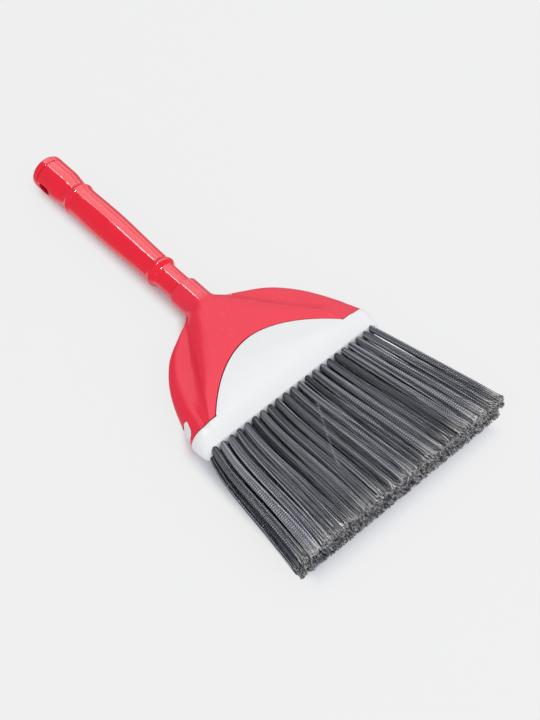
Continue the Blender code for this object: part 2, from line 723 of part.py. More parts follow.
def make_handle(material, parent):
    """Hollow grip with a ring bead at each end, a waisted barrel, a hang slot and a neck that screws in."""
    handle = add_object("handle", turned(handle_outside() + handle_bore()), material, parent)
    slot_end = CAP_SEAM - HANG_SLOT_FROM_SEAM
    reach = BARREL_RADIUS + CUT_OVERRUN
    slot = add_object("hang_slot", prism(rounded_slot(
        slot_end - HANG_SLOT_LENGTH, slot_end, HANG_SLOT_WIDTH / 2, HANG_SLOT_WIDTH / 2,
    ), -reach, reach, "X"), parent=parent)
    combine(handle, slot, "DIFFERENCE")
    close_short_edges(handle)
    return handle


def make_end_cap(material, parent):
    """Cap with a rounded edge, closing the handle: its spigot seats in the bore."""
    low, high = CAP_SEAM + SEAM_GAP, HANDLE_END
    spigot = BARREL_RADIUS - HANDLE_WALL - SEAM_GAP
    edge = rounded_edge(BARREL_RADIUS, high, CAP_EDGE_ROUND)
    profile = [(0, high)] + edge + [
        (BARREL_RADIUS, low + SEAM_CHAMFER), (BARREL_RADIUS - SEAM_CHAMFER, low), (spigot, low),
        (spigot, CAP_SEAM - SPIGOT_LENGTH), (spigot - HANDLE_WALL, CAP_SEAM - SPIGOT_LENGTH),
        (spigot - HANDLE_WALL, high - HANDLE_WALL), (0, high - HANDLE_WALL),
    ]
    return add_object("end_cap", turned(profile), material, parent)


# The hand broom

for old in list(bpy.data.objects):
    bpy.data.objects.remove(old)

root_line = bpy.data.objects.new("root_line", None)
bpy.context.scene.collection.objects.link(root_line)
root_line.location = (0, -MIDDLE_OF_LENGTH, HEAD_HALF_THICK)

red_plastic = make_material("red_plastic", RED, 0.22)
red_cap_plastic = make_material("red_cap_plastic", RED, 0.22)
red_cover_plastic = make_material("red_cover_plastic", RED, 0.30)
white_plastic = make_material("white_plastic", WHITE, 0.35)

make_cover(red_cover_plastic, root_line)
make_block(white_plastic, root_line)
make_handle(red_plastic, root_line)
make_end_cap(red_cap_plastic, root_line)
for row, place in ((1, "front"), (0, "middle"), (-1, "back")):
    bristle = make_material("bristle_" + place, CHARCOAL, 0.6)
    make_bristles("bristles_" + place, row, bristle, root_line)
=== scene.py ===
# Hand broom lying on its back on a pale studio floor.
# +Y runs from the bristle tips to the handle's end, +X across the head and +Z up from the floor, in metres.
import math
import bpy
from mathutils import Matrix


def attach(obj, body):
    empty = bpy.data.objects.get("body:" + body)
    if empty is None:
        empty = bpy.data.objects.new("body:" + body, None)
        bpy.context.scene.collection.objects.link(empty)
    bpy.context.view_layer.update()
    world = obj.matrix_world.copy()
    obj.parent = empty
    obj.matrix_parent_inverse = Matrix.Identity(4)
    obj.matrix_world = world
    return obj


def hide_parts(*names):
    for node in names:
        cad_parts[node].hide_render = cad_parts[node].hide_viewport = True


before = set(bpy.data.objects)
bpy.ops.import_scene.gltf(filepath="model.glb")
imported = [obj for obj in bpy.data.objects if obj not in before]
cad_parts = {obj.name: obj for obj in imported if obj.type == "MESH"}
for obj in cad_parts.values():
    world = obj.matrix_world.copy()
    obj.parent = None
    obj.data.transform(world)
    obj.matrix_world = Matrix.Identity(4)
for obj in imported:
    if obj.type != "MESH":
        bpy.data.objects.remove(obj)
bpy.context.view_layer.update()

from types import SimpleNamespace

import bmesh
import bpy
from mathutils import Vector

MM = 0.001

# Studio: a white paper floor, soft panels that light the broom, and bright shapes that only its gloss shows,
# in a dim pale room. The camera stands above the bristles' left corner, as the photographer did.

CAMERA_TURN = -42.84
CAMERA_RISE = 54.64
CAMERA_AWAY = 928.0 * MM
CAMERA_AIM = Vector((12.7, -53.4, -0.8)) * MM
CAMERA_LENS = 61.1
PANELS = (
    ("key_panel", (0.72, 0.30, 0.86), (0, 0.05, 0), (1.5, 2.2), 5.0, True),
    ("fill_panel", (0.10, -1.20, 0.50), (0, -0.10, 0), (1.2, 1.2), 9.0, True),
    ("left_panel", (-1.10, 0.00, 0.50), (0, 0, 0), (1.0, 1.0), 2.6, True),
    ("ceiling_gloss", (0.98, 1.15, 1.20), (0.98, 1.15, 0), (1.7, 2.4), 29.0, False),
    ("wall_gloss", (2.10, 1.20, 0.60), (0, 1.20, 0.60), (2.6, 1.2), 12.0, False),
    ("edge_gloss", (0.12, 1.15, 1.19), (0.12, 1.15, 0), (0.08, 2.4), 2.2, False),
    ("neck_gloss", (0.11, 0.74, 1.18), (0.11, 0.74, 0), (0.13, 0.14), 0.75, False),
    ("bead_gloss", (-0.06, 0.03, 1.15), (-0.06, 0.03, 0), (0.20, 0.20), 10.0, False),
    ("barrel_gloss", (0.11, 1.10, 1.18), (0.11, 1.10, 0), (0.12, 0.08), 0.15, False),
)
ROOM_COLOUR = (0.98, 0.99, 1.0)
ROOM_LIGHT = 0.77
ROOM_IN_GLOSS = 0.28
FLOOR_SIZE = 6.0
FLOOR_BRIGHTNESS = 0.855
FLOOR_TINT = {"Red": 0.965, "Green": 0.98, "Blue": 1.03}
FLOOR_GRAIN = 0.01
FLOOR_GLOW = 0.862
FLOOR_OWN_SHARE = 0.92
FAR_FLOOR_DIMMED = 0.62
NEAR_FLOOR_DIMMED = 0.75
DIMMED_REACH = (16 * MM, 34 * MM)
SHADOW_REACH = (-2.5 * MM, 11 * MM)
SHADOW_OUTLINE = {
    "Handle half width": 8 * MM, "Head half width": 85 * MM,
    "Tip half width": 102 * MM, "Half length": 206 * MM,
}
SHADOW_BRISTLES = (-207 * MM, -92 * MM)
SHADOW_HEAD = (-75 * MM, 22 * MM)
SHADOW_END_STRETCH = 1.6


def add_object(name, data):
    """Put a mesh, a lamp or the camera into the scene."""
    made = bpy.data.objects.new(name, data)
    bpy.context.scene.collection.objects.link(made)
    return made


def aim(body, target):
    """Turn a lamp or the camera so that it looks at a point."""
    body.rotation_euler = (target - body.location).to_track_quat("-Z", "Y").to_euler()


def add_panel(name, place, target, size, power, lights):
    """Flat soft lamp. One that doesn't light is a bright shape seen in glossy plastic alone."""
    lamp = bpy.data.lights.new(name, "AREA")
    lamp.shape = "RECTANGLE"
    lamp.size, lamp.size_y = size
    lamp.energy = power
    made = add_object(name, lamp)
    made.location = place
    aim(made, Vector(target))
    made.visible_camera = False
    made.visible_diffuse = lights
    made.visible_glossy = not lights


turn, rise = math.radians(CAMERA_TURN), math.radians(CAMERA_RISE)
camera = add_object("camera", bpy.data.cameras.new("camera"))
camera.data.lens = CAMERA_LENS
camera.location = CAMERA_AIM + CAMERA_AWAY * Vector((
    math.sin(turn) * math.cos(rise), -math.cos(turn) * math.cos(rise), math.sin(rise),
))
aim(camera, CAMERA_AIM)
bpy.context.scene.camera = camera
bpy.context.scene.view_settings.view_transform = "Standard"
for panel in PANELS:
    add_panel(*panel)


class Figure:
    """A number that a node tree works out. Arithmetic on it adds Math nodes to the tree."""

    def __init__(self, tree, socket):
        self.tree, self.socket = tree, socket

    def step(self, operation, *others):
        """Add one Math node, fed by this figure and any others."""
        node = self.tree.nodes.new("ShaderNodeMath")
        node.operation = operation
        for entry, value in zip(node.inputs, (self, *others)):
            feed(entry, value)
        return Figure(self.tree, node.outputs[0])

    def ramp(self, low, high, start=0.0, end=1.0, **settings):
        """Run from start to end while this figure runs from low to high."""
        return figure_of(self.tree, "ShaderNodeMapRange", {
            "Value": self, "From Min": low, "From Max": high, "To Min": start, "To Max": end}, **settings)

    def __add__(self, other):
        return self.step("ADD", other)

    def __sub__(self, other):
        return self.step("SUBTRACT", other)

    def __rsub__(self, other):
        return self * -1 + other

    def __mul__(self, other):
        return self.step("MULTIPLY", other)

    def __truediv__(self, other):
        return self.step("DIVIDE", other)

    def __pow__(self, other):
        return self.step("POWER", other)

    __radd__, __rmul__ = __add__, __mul__


def feed(entry, value):
    """Give a node's input a plain value or colour, or link it to a figure or to another node's output."""
    value = value.socket if isinstance(value, Figure) else value
    if isinstance(value, bpy.types.NodeSocket):
        entry.id_data.links.new(value, entry)
    else:
        entry.default_value = (*value, 1) if entry.type == "RGBA" else value


def feed_all(node, fed):
    """Feed a node's inputs by name."""
    for name, value in fed.items():
        feed(node.inputs[name], value)


def add_node(tree, kind, fed=None, **settings):
    """Add a node with its settings, and feed its inputs."""
    node = tree.nodes.new(kind)
    for setting, value in settings.items():
        setattr(node, setting, value)
    feed_all(node, fed or {})
    return node


def figure_of(tree, kind, fed=None, output=0, **settings):
    """Add a node, and take one of its outputs as a figure."""
    return Figure(tree, add_node(tree, kind, fed, **settings).outputs[output])


def own_place(tree):
    """Places in the piece's own space, where a material's patterns lie."""
    return add_node(tree, "ShaderNodeTexCoord").outputs["Object"]


def own_axis(tree, axis):
    """How far along one of the piece's own axes a place lies."""
    return figure_of(tree, "ShaderNodeSeparateXYZ", {"Vector": own_place(tree)}, axis)


def new_material(name):
    """Start a material. Gives it with its tree and its shader."""
    made = bpy.data.materials.new(name)
    made.use_nodes = True
    return made, made.node_tree, made.node_tree.nodes["Principled BSDF"]


def new_recipe(name, kind, inputs, outputs):
    """Start a node group with named inputs, which hold their usual values, and named outputs."""
    tree = bpy.data.node_groups.new(name, kind)
    sockets = {int: "NodeSocketInt", float: "NodeSocketFloat"}
    for label, value in inputs.items():
        entry = tree.interface.new_socket(
            name=label, in_out="INPUT", socket_type=sockets.get(type(value), "NodeSocketMaterial"))
        if value is not None:
            entry.default_value = value
    result = "NodeSocketGeometry" if kind == "GeometryNodeTree" else "NodeSocketFloat"
    for label in outputs:
        tree.interface.new_socket(name=label, in_out="OUTPUT", socket_type=result)
    given = {entry.name: Figure(tree, entry) for entry in tree.nodes.new("NodeGroupInput").outputs}
    return tree, given, tree.nodes.new("NodeGroupOutput")


def edge_recipe():
    """Distance on the floor from the broom's outline, in metres: below zero under the broom itself."""
    tree, given, made = new_recipe("Distance from the broom", "ShaderNodeTree", SHADOW_OUTLINE, ("Distance",))
    across, along = own_axis(tree, "X").step("ABSOLUTE"), own_axis(tree, "Y")
    bristles = along.ramp(*SHADOW_BRISTLES, given["Tip half width"], given["Head half width"])
    head = along.ramp(*SHADOW_HEAD, given["Head half width"], given["Handle half width"])
    beyond = (along.step("ABSOLUTE") - given["Half length"]) / SHADOW_END_STRETCH
    feed_all(made, {"Distance": (across - bristles.step("MINIMUM", head)).step("MAXIMUM", beyond)})
    return tree


def floor_material():
    """White paper, dull and faintly mottled. Away from the broom the camera sees most of it in its own glow,
    so it stays even and the shadow keeps close to the broom. The gloss on the plastic sees it dimmed."""
    made, tree, shader = new_material("pale_floor")
    edge = figure_of(tree, "ShaderNodeGroup", SHADOW_OUTLINE, node_tree=edge_recipe())
    share = edge.ramp(*SHADOW_REACH, end=FLOOR_OWN_SHARE, interpolation_type="SMOOTHSTEP")
    seen = add_node(tree, "ShaderNodeLightPath").outputs
    in_gloss = Figure(tree, seen["Is Glossy Ray"])
    reflected = in_gloss * share
    own = share * seen["Is Camera Ray"] + reflected
    grain = figure_of(tree, "ShaderNodeTexNoise", {"Vector": own_place(tree), "Scale": 900.0, "Detail": 2.0})
    brightness = grain * FLOOR_GRAIN + (FLOOR_BRIGHTNESS - FLOOR_GRAIN / 2)
    lit = brightness * (1 - own) * (1 - in_gloss * NEAR_FLOOR_DIMMED)
    paper = add_node(tree, "ShaderNodeCombineColor", {name: lit * tint for name, tint in FLOOR_TINT.items()})
    feed_all(shader, {
        "Base Color": paper.outputs[0], "Roughness": grain * 0.1 + 0.85, "Specular IOR Level": 0.0,
        "Emission Color": (1, 1, 1),
        "Emission Strength": (own - reflected * edge.ramp(*DIMMED_REACH, end=FAR_FLOOR_DIMMED)) * FLOOR_GLOW,
    })
    return made


room = bpy.data.worlds.new("room")
bpy.context.scene.world = room
room.use_nodes = True
room_in_gloss = figure_of(room.node_tree, "ShaderNodeLightPath", output="Is Glossy Ray")
feed_all(room.node_tree.nodes["Background"], {
    "Color": ROOM_COLOUR, "Strength": room_in_gloss * (ROOM_IN_GLOSS - ROOM_LIGHT) + ROOM_LIGHT,
})
half = FLOOR_SIZE / 2
floor_mesh = bpy.data.meshes.new("floor")
floor_mesh.from_pydata(
    [(-half, -half, 0), (half, -half, 0), (half, half, 0), (-half, half, 0)], [], [(0, 1, 2, 3)],
)
floor_mesh.materials.append(floor_material())
add_object("floor", floor_mesh)

# Head cover: one injection-moulded red shell with the handle's socket on top, a bell window in each face
# and a catch window in each side. The bell has a satin finish, the socket a polished one.

ROOT_LINE = Vector((0, -91.0, 15.2)) * MM
HEAD_HALF_WIDTH = 87.0 * MM
HEAD_HALF_THICK = 15.2 * MM
PARTING_LINE = 12.3 * MM
BELL_HEIGHT = 91.7 * MM
BELL_TOP = PARTING_LINE + BELL_HEIGHT
BELL_OVERRUN = 2 * MM
OUTLINE_SHARES = (
    (0.00, 0.990), (0.23, 0.913), (0.44, 0.816), (0.60, 0.706),
    (0.74, 0.563), (0.86, 0.356), (0.93, 0.225), (1.00, 0.155),
)
CROWN_SHARES = ((0.00, 1.00), (0.40, 1.00), (0.66, 0.93), (0.91, 0.829), (1.00, 0.62))
CREASE_WIDTH_SHARES = (
    (0.00, 0.813), (0.17, 0.750), (0.455, 0.617), (0.69, 0.574),
    (0.81, 0.620), (0.93, 0.860), (1.00, 0.90),
)
CREASE_HEIGHT_SHARES = (
    (0.00, 0.960), (0.17, 0.875), (0.455, 0.750), (0.69, 0.500),
    (0.81, 0.375), (0.93, 0.140), (1.00, 0.08),
)
RIDGE_WIDTH_SHARES = (
    (0.00, 0.854), (0.28, 0.840), (0.50, 0.815), (0.73, 0.810), (0.89, 0.900), (1.00, 0.96),
)
RIDGE_HEIGHT_SHARES = (
    (0.00, 0.880), (0.28, 0.630), (0.50, 0.490), (0.73, 0.370), (0.89, 0.220), (1.00, 0.06),
)
SCOOP_DEPTH = 3.0 * MM
SCOOP_SHARES = ((0.00, 0.0), (0.15, 0.0), (0.45, 1.0), (0.75, 0.5), (0.95, 0.0), (1.00, 0.0))
SCOOP_POWER = 0.6
HUMP_POWER_SHARES = ((0.00, 5.0), (0.40, 3.6), (0.90, 2.2), (1.00, 2.0))
HUMP_FLAT_LIMIT = 0.9
WING_EDGE_POWER = 2.2
CROWN_BEND = 0.03
ARCH_HALF_WIDTH = 63.5 * MM
ARCH_HEIGHT = 35.7 * MM
ARCH_POWER = 1.9
FLAT_END = 1.6 * ARCH_HEIGHT
NECK_RADIUS = 10.6 * MM
SEAM_GAP = 0.3 * MM
SOCKET_BORE = NECK_RADIUS + SEAM_GAP
SOCKET_RADIUS = 13.1 * MM
SOCKET_RIM = 122.6 * MM
SOCKET_FLOOR = 87.0 * MM
SOCKET_RIM_ROUND = 0.9 * MM
SOCKET_BLEND = 1.6 * MM
SOCKET_BLEND_START = BELL_TOP - 25 * MM
SOCKET_SHRINK = 0.2
CAVITY_TOP = 80.0 * MM
COVER_WALL = 2.0 * MM
EDGE_ROUND = 0.28 * MM
CATCH_LOW = PARTING_LINE + 3.1 * MM
CATCH_HIGH = CATCH_LOW + 12.6 * MM
CATCH_HALF_THICK = 8.4 * MM
CATCH_CORNER = 3.4 * MM
WINDOW_TOOL_SIDES = (HEAD_HALF_WIDTH - 25 * MM, HEAD_HALF_WIDTH + 5 * MM)
HUMP_COLUMNS = 26
SCOOP_COLUMNS = 10
WING_EDGE_COLUMNS = 10
ROUND_STEPS = 4
ARCH_ROWS = 34
BELL_ROWS = 60
BELL_ROW_POWER = 0.8
SOCKET_ROWS = 8
SHARP_DEGREES = 38
SAME_SPOT = 0.002 * MM
SAME_CUT_SPOT = 0.003 * MM


def along_shares(shares, place):
    """Smooth curve through (place, value) pairs, read at a place between 0 and 1."""
    place = min(max(place, shares[0][0]), shares[-1][0])
    last = len(shares) - 1
    index = max(i for i in range(last) if shares[i][0] <= place)
    (x0, y0), (x1, y1) = shares[index], shares[index + 1]

    def slope(i):
        low, high = max(i - 1, 0), min(i + 1, last)
        return (shares[high][1] - shares[low][1]) / (shares[high][0] - shares[low][0])

    span = x1 - x0
    t = (place - x0) / span
    m0, m1 = slope(index) * span, slope(index + 1) * span
    return (
        y0 * (1 + 2 * t) * (1 - t) ** 2 + m0 * t * (1 - t) ** 2
        + y1 * t * t * (3 - 2 * t) - m1 * t * t * (1 - t)
    )


def gathered(step, steps):
    """Share of a stretch after so many steps, with the steps gathered at both ends."""
    return (1 - math.cos(math.pi * step / steps)) / 2


def round_steps(radius):
    """Quarter round on an edge: pairs of the distance from the edge and the drop below the face."""
    angles = [math.pi / 2 * step / ROUND_STEPS for step in range(ROUND_STEPS + 1)]
    return [(radius * (1 - math.cos(a)), radius * (1 - math.sin(a))) for a in angles]


def soft_limit(value):
    """The value, or 1 where it is more, with a soft bend between the two."""
    share = min(max(0.5 + (1 - value) / (2 * CROWN_BEND), 0), 1)
    return 1 + (value - 1) * share - CROWN_BEND * share * (1 - share)


def bell_section(height):
    """Sizes of the bell's cross-section at a height above the tufts' root line."""
    place = (height - PARTING_LINE) / BELL_HEIGHT
    width = HEAD_HALF_WIDTH * along_shares(OUTLINE_SHARES, place)
    return SimpleNamespace(
        width=width,
        crown=HEAD_HALF_THICK * soft_limit(along_shares(CROWN_SHARES, place)),
        crease=width * along_shares(CREASE_WIDTH_SHARES, place),
        crease_height=HEAD_HALF_THICK * along_shares(CREASE_HEIGHT_SHARES, place),
        ridge=width * along_shares(RIDGE_WIDTH_SHARES, place),
        ridge_height=HEAD_HALF_THICK * along_shares(RIDGE_HEIGHT_SHARES, place),
        scoop=SCOOP_DEPTH * max(along_shares(SCOOP_SHARES, place), 0),
        power=along_shares(HUMP_POWER_SHARES, place),
        flat=ARCH_HALF_WIDTH * (1 - min(max((height - PARTING_LINE) / FLAT_END, 0), 1) ** 2) ** 2,
    )


def hump_height(section, across):
    """Height of the hump over the mid-plane: flat in the middle, then round down to the crease."""
    flat = min(section.flat, section.crease * HUMP_FLAT_LIMIT)
    if across <= flat:
        return section.crown
    fall = (1 - (section.crease_height / section.crown) ** section.power) ** (1 / section.power)
    share = min(fall * (across - flat) / (section.crease - flat), 1)
    return section.crown * (1 - share ** section.power) ** (1 / section.power)


def bell_quarter(height, start):
    """A quarter of the bell's cross-section, from a place on the hump, over the crease, to its side."""
    section = bell_section(height)
    points = []
    for step in range(HUMP_COLUMNS + 1):
        across = start + (section.crease - start) * gathered(step, HUMP_COLUMNS)
        points.append((across, hump_height(section, across)))
    for step in range(1, SCOOP_COLUMNS + 1):
        share = gathered(step, SCOOP_COLUMNS)
        straight = section.crease_height + (section.ridge_height - section.crease_height) * share
        points.append((
            section.crease + (section.ridge - section.crease) * share,
            straight - section.scoop * math.sin(math.pi * share ** SCOOP_POWER),
        ))
    for step in range(1, WING_EDGE_COLUMNS + 1):
        angle = math.pi / 2 * step / WING_EDGE_COLUMNS
        reach = math.sin(angle) ** (2 / WING_EDGE_POWER)
        rise = max(math.cos(angle), 0) ** (2 / WING_EDGE_POWER)
        across = section.ridge + (section.width - section.ridge) * reach
        points.append((across, 0.0 if step == WING_EDGE_COLUMNS else section.ridge_height * rise))
    return points


def blended_into_socket(x, z, height):
    """Push a point of the bell out to the socket's round form, with a small fillet where they meet."""
    if height < SOCKET_BLEND_START:
        return x, z
    reach = math.hypot(x, z)
    beyond = min(max(height - BELL_TOP, 0) / BELL_OVERRUN, 1)
    own = reach * (1 - SOCKET_SHRINK * beyond)
    overlap = max(SOCKET_BLEND - abs(own - SOCKET_RADIUS), 0) / SOCKET_BLEND
    wanted = max(own, SOCKET_RADIUS) + overlap ** 2 * SOCKET_BLEND / 4 * (1 - beyond)
    return x * wanted / reach, z * wanted / reach


def arch_edge(angle):
    """Point on the bell window's arched edge, and the direction square to it, away from the window."""
    share = math.cos(angle)
    point = Vector((ARCH_HALF_WIDTH * share, PARTING_LINE + ARCH_HEIGHT * (1 - share ** ARCH_POWER)))
    outwards = Vector((ARCH_HEIGHT * ARCH_POWER * share ** (ARCH_POWER - 1), ARCH_HALF_WIDTH)).normalized()
    return point, outwards


def cover_rows():
    """Rows of (point, depth below the face) for a quarter of the shell's outside, parting line to rim."""
    rows = []
    lip = round_steps(EDGE_ROUND)

    def hump_spot(x, height, sink):
        return x, height, hump_height(bell_section(height), x), sink

    corner, outwards = arch_edge(0)
    for rise, sink in lip:
        height = corner.y + rise
        edge = corner.x - rise * outwards.y / outwards.x
        row = [hump_spot(edge + away / outwards.x, height, max(drop, sink)) for away, drop in lip]
        quarter = bell_quarter(height, edge + EDGE_ROUND / outwards.x)
        rows.append(row + [(x, height, z, sink) for x, z in quarter[1:]])
    for step in range(1, ARCH_ROWS + 1):
        point, outwards = arch_edge(math.pi / 2 * step / ARCH_ROWS)
        height = point.y + EDGE_ROUND * outwards.y
        if step < ARCH_ROWS / 2 and height < rows[-1][-1][1] + EDGE_ROUND / 2:
            continue
        row = [hump_spot(*(point + away * outwards), drop) for away, drop in lip]
        quarter = bell_quarter(height, point.x + EDGE_ROUND * outwards.x)
        rows.append(row + [(x, height, z, 0.0) for x, z in quarter[1:]])
    none = [None] * ROUND_STEPS
    low, top = rows[-1][-1][1], BELL_TOP + BELL_OVERRUN
    for step in range(1, BELL_ROWS + 1):
        height = low + (top - low) * (step / BELL_ROWS) ** BELL_ROW_POWER
        spots = [blended_into_socket(x, z, height) for x, z in bell_quarter(min(height, BELL_TOP), 0.0)]
        rows.append(none + [(x, height, z, 0.0) for x, z in spots])
    directions = [Vector((x, z)).normalized() for x, _, z, _ in rows[-1][ROUND_STEPS:]]
    rise = (SOCKET_RIM - SOCKET_RIM_ROUND - top) / SOCKET_ROWS
    profile = [(SOCKET_RADIUS, top + rise * step) for step in range(1, SOCKET_ROWS + 1)]
    rim_round = round_steps(SOCKET_RIM_ROUND)[-2::-1]
    profile += [(SOCKET_RADIUS - drop, SOCKET_RIM - away) for away, drop in rim_round]
    profile += [(SOCKET_BORE + drop, SOCKET_RIM - away) for drop, away in lip[::-1]]
    profile += [(SOCKET_BORE, SOCKET_FLOOR), (0.0, SOCKET_FLOOR)]
    for radius, height in profile:
        rows.append(none + [(d.x * radius, height, d.y * radius, 0.0) for d in directions])
    return rows


def quarters(bm, rows, layer):
    """Fill the four quarters of a piece from one quarter's rows of (x, height, z, depth below the face)."""
    for side, face in ((1, 1), (1, -1), (-1, 1), (-1, -1)):
        grid = []
        for row in rows:
            line = []
            for spot in row:
                vert = spot and bm.verts.new((side * spot[0], spot[1], face * spot[2]))
                if vert:
                    vert[layer] = spot[3]
                line.append(vert)
            grid.append(line)
        for near, far in zip(grid, grid[1:]):
            for i in range(len(near) - 1):
                corners = (near[i], near[i + 1], far[i + 1], far[i])
                if all(corners):
                    bm.faces.new(corners)
    bmesh.ops.remove_doubles(bm, verts=bm.verts, dist=SAME_SPOT)


def inner_spot(spot):
    """The shell's inner face, one wall below a point of its outside."""
    section = bell_section(max(spot.y, PARTING_LINE))
    share = min(max(abs(spot.x) - section.crease, 0) / (section.width - section.crease), 1)
    share = share ** 2 * (3 - 2 * share)
    return Vector((
        spot.x - math.copysign(COVER_WALL * share, spot.x), spot.y, spot.z * (1 - COVER_WALL / section.crown),
    ))


def fasten(made, body, node):
    """Let a finished piece ride on its body, in place of its solid."""
    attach(made, body)
    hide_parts(node)


def add_piece(name, bm, material, body, node):
    """Turn a mesh in the head's own places into a finished piece."""
    bmesh.ops.translate(bm, verts=bm.verts, vec=ROOT_LINE)
    mesh = bpy.data.meshes.new(name)
    bm.to_mesh(mesh)
    bm.free()
    mesh.materials.append(material)
    mesh.shade_smooth()
    mesh.set_sharp_from_angle(angle=math.radians(SHARP_DEGREES))
    fasten(add_object(name, mesh), body, node)


def rounded_slot(low, high, half_width, corner, steps=6):
    """Outline with rounded corners, between two heights and a half-width either side."""
    outline = []
    for quadrant, along, across in (
        (0, high - corner, half_width - corner), (1, low + corner, half_width - corner),
        (2, low + corner, corner - half_width), (3, high - corner, corner - half_width),
    ):
        for step in range(steps + 1):
            angle = math.pi / 2 * (quadrant + step / steps)
            outline.append((along + corner * math.cos(angle), across + corner * math.sin(angle)))
    return outline


def catch_outline(gap):
    """Outline of a catch window, or of a body that leaves a gap inside it."""
    return rounded_slot(CATCH_LOW + gap, CATCH_HIGH - gap, CATCH_HALF_THICK - gap, CATCH_CORNER - gap)


def add_tube(bm, rings):
    """Skin a run of rings that have the same count of points, and close its two ends."""
    rows = [[bm.verts.new(point) for point in ring] for ring in rings]
    count = len(rows[0])
    for near, far in zip(rows, rows[1:]):
        for i in range(count):
            j = (i + 1) % count
            bm.faces.new((near[i], near[j], far[j], far[i]))
    bm.faces.new(rows[0][::-1])
    bm.faces.new(rows[-1])
    return rows


def cut(bm, tools):
    """Take closed tools away from a closed mesh."""
    bmesh.ops.recalc_face_normals(tools, faces=tools.faces)
    bodies = []
    for part in (bm, tools):
        mesh = bpy.data.meshes.new("cutting")
        part.to_mesh(mesh)
        part.free()
        bodies.append(add_object("cutting", mesh))
    whole, tool = bodies
    step = whole.modifiers.new("cut", "BOOLEAN")
    step.operation = "DIFFERENCE"
    step.solver = "EXACT"
    step.object = tool
    left = bmesh.new()
    left.from_mesh(whole.evaluated_get(bpy.context.evaluated_depsgraph_get()).to_mesh())
    for body in bodies:
        mesh = body.data
        bpy.data.objects.remove(body)
        bpy.data.meshes.remove(mesh)
    bmesh.ops.remove_doubles(left, verts=left.verts, dist=SAME_CUT_SPOT)
    return left


def cover_shell():
    """The whole cover: outside, lips, inner face, socket bore and catch windows. The inner face is marked for
    painted shade all over.
    """
    bm = bmesh.new()
    sink, painted_shade = (bm.verts.layers.float.new(label) for label in ("sink", "painted_shade"))
    quarters(bm, cover_rows(), sink)
    bmesh.ops.recalc_face_normals(bm, faces=bm.faces)
    bm.normal_update()
    shell = [face for face in bm.faces if all(
        v.co.y < CAVITY_TOP and abs(v.co.x) + abs(v.co.z) > SOCKET_BORE for v in face.verts)]
    # Every point of the inner face is marked for painted shade: its colour is painted dark, standing in for
    # the shadow inside the shell.
    inner = {}
    for face in shell:
        for vert in face.verts:
            if vert not in inner:
                inner[vert] = bm.verts.new(inner_spot(vert.co))
                inner[vert][painted_shade] = 1
    rim = [edge for edge in bm.edges if edge.is_boundary]
    top = {vert for face in shell for vert in face.verts for edge in vert.link_edges
           if edge.other_vert(vert) not in inner}
    for face in shell:
        bm.faces.new([inner[vert] for vert in reversed(face.verts)])
    for edge in rim:
        a, b = edge.verts
        bm.faces.new((a, b, inner[b], inner[a]))
    bmesh.ops.contextual_create(bm, geom=[inner[vert] for vert in top])
    moved = [(vert, vert.co - vert.normal * vert[sink]) for vert in inner if vert[sink]]
    for vert, place in moved:
        vert.co = place
    bmesh.ops.recalc_face_normals(bm, faces=bm.faces)
    windows = bmesh.new()
    for side in (1, -1):
        add_tube(windows, [
            [(side * depth, height, z) for height, z in catch_outline(0)] for depth in WINDOW_TOOL_SIDES
        ])
    return cut(bm, windows)


def marks_recipe():
    """Traces of moulding and handling on hard plastic: cloudy colour, fine ripple, scuffs and scratches."""
    tree, given, made = new_recipe("Moulding and handling marks", "ShaderNodeTree", {
        "Cloud size": 0.03, "Ripple size": 0.004, "Scuff size": 0.0025, "Scuff share": 0.3,
    }, ("Cloud", "Ripple", "Scuff"))

    def noise(size, detail, stretch=(1, 1, 1), turn=(0, 0, 0)):
        mapped = add_node(tree, "ShaderNodeMapping", {
            "Vector": own_place(tree), "Scale": stretch, "Rotation": turn})
        return figure_of(tree, "ShaderNodeTexNoise", {
            "Vector": mapped.outputs[0], "Detail": detail, "Scale": given[size] ** -1.0})

    worn = noise("Cloud size", 2.0, turn=(0.4, 0.9, 0.2)).ramp(0.42, 0.66)
    limit = given["Scuff share"] * -0.22 + 0.74
    spots = noise("Scuff size", 4.0).ramp(limit, limit + 0.05)
    lines = noise("Scuff size", 2.0, (1.0, 0.07, 1.0), (0.1, 0.2, 0.7)).ramp(0.70, 0.74)
    feed_all(made, {
        "Cloud": noise("Cloud size", 3.0), "Ripple": noise("Ripple size", 1.0),
        "Scuff": (spots + lines * 0.7).step("MINIMUM", 1.0) * worn,
    })
    return tree


def mixed(tree, share, first, second, blend="MIX"):
    """Mix two colours, each a plain one or another node's output."""
    return add_node(tree, "ShaderNodeMix", {"Factor": share, "A": first, "B": second},
                    data_type="RGBA", blend_type=blend).outputs["Result"]


def add_lift(tree, shader, height, depth, strength=1.0):
    """Let a figure raise the surface by up to a depth."""
    lift = add_node(tree, "ShaderNodeBump", {"Strength": strength, "Distance": depth, "Height": height})
    feed(shader.inputs["Normal"], lift.outputs[0])


def traces_in(tree, sizes):
    """The three marks on a surface, with the sizes that it has there."""
    traces = add_node(tree, "ShaderNodeGroup", sizes, node_tree=marks).outputs
    return (Figure(tree, traces[label]) for label in ("Cloud", "Ripple", "Scuff"))


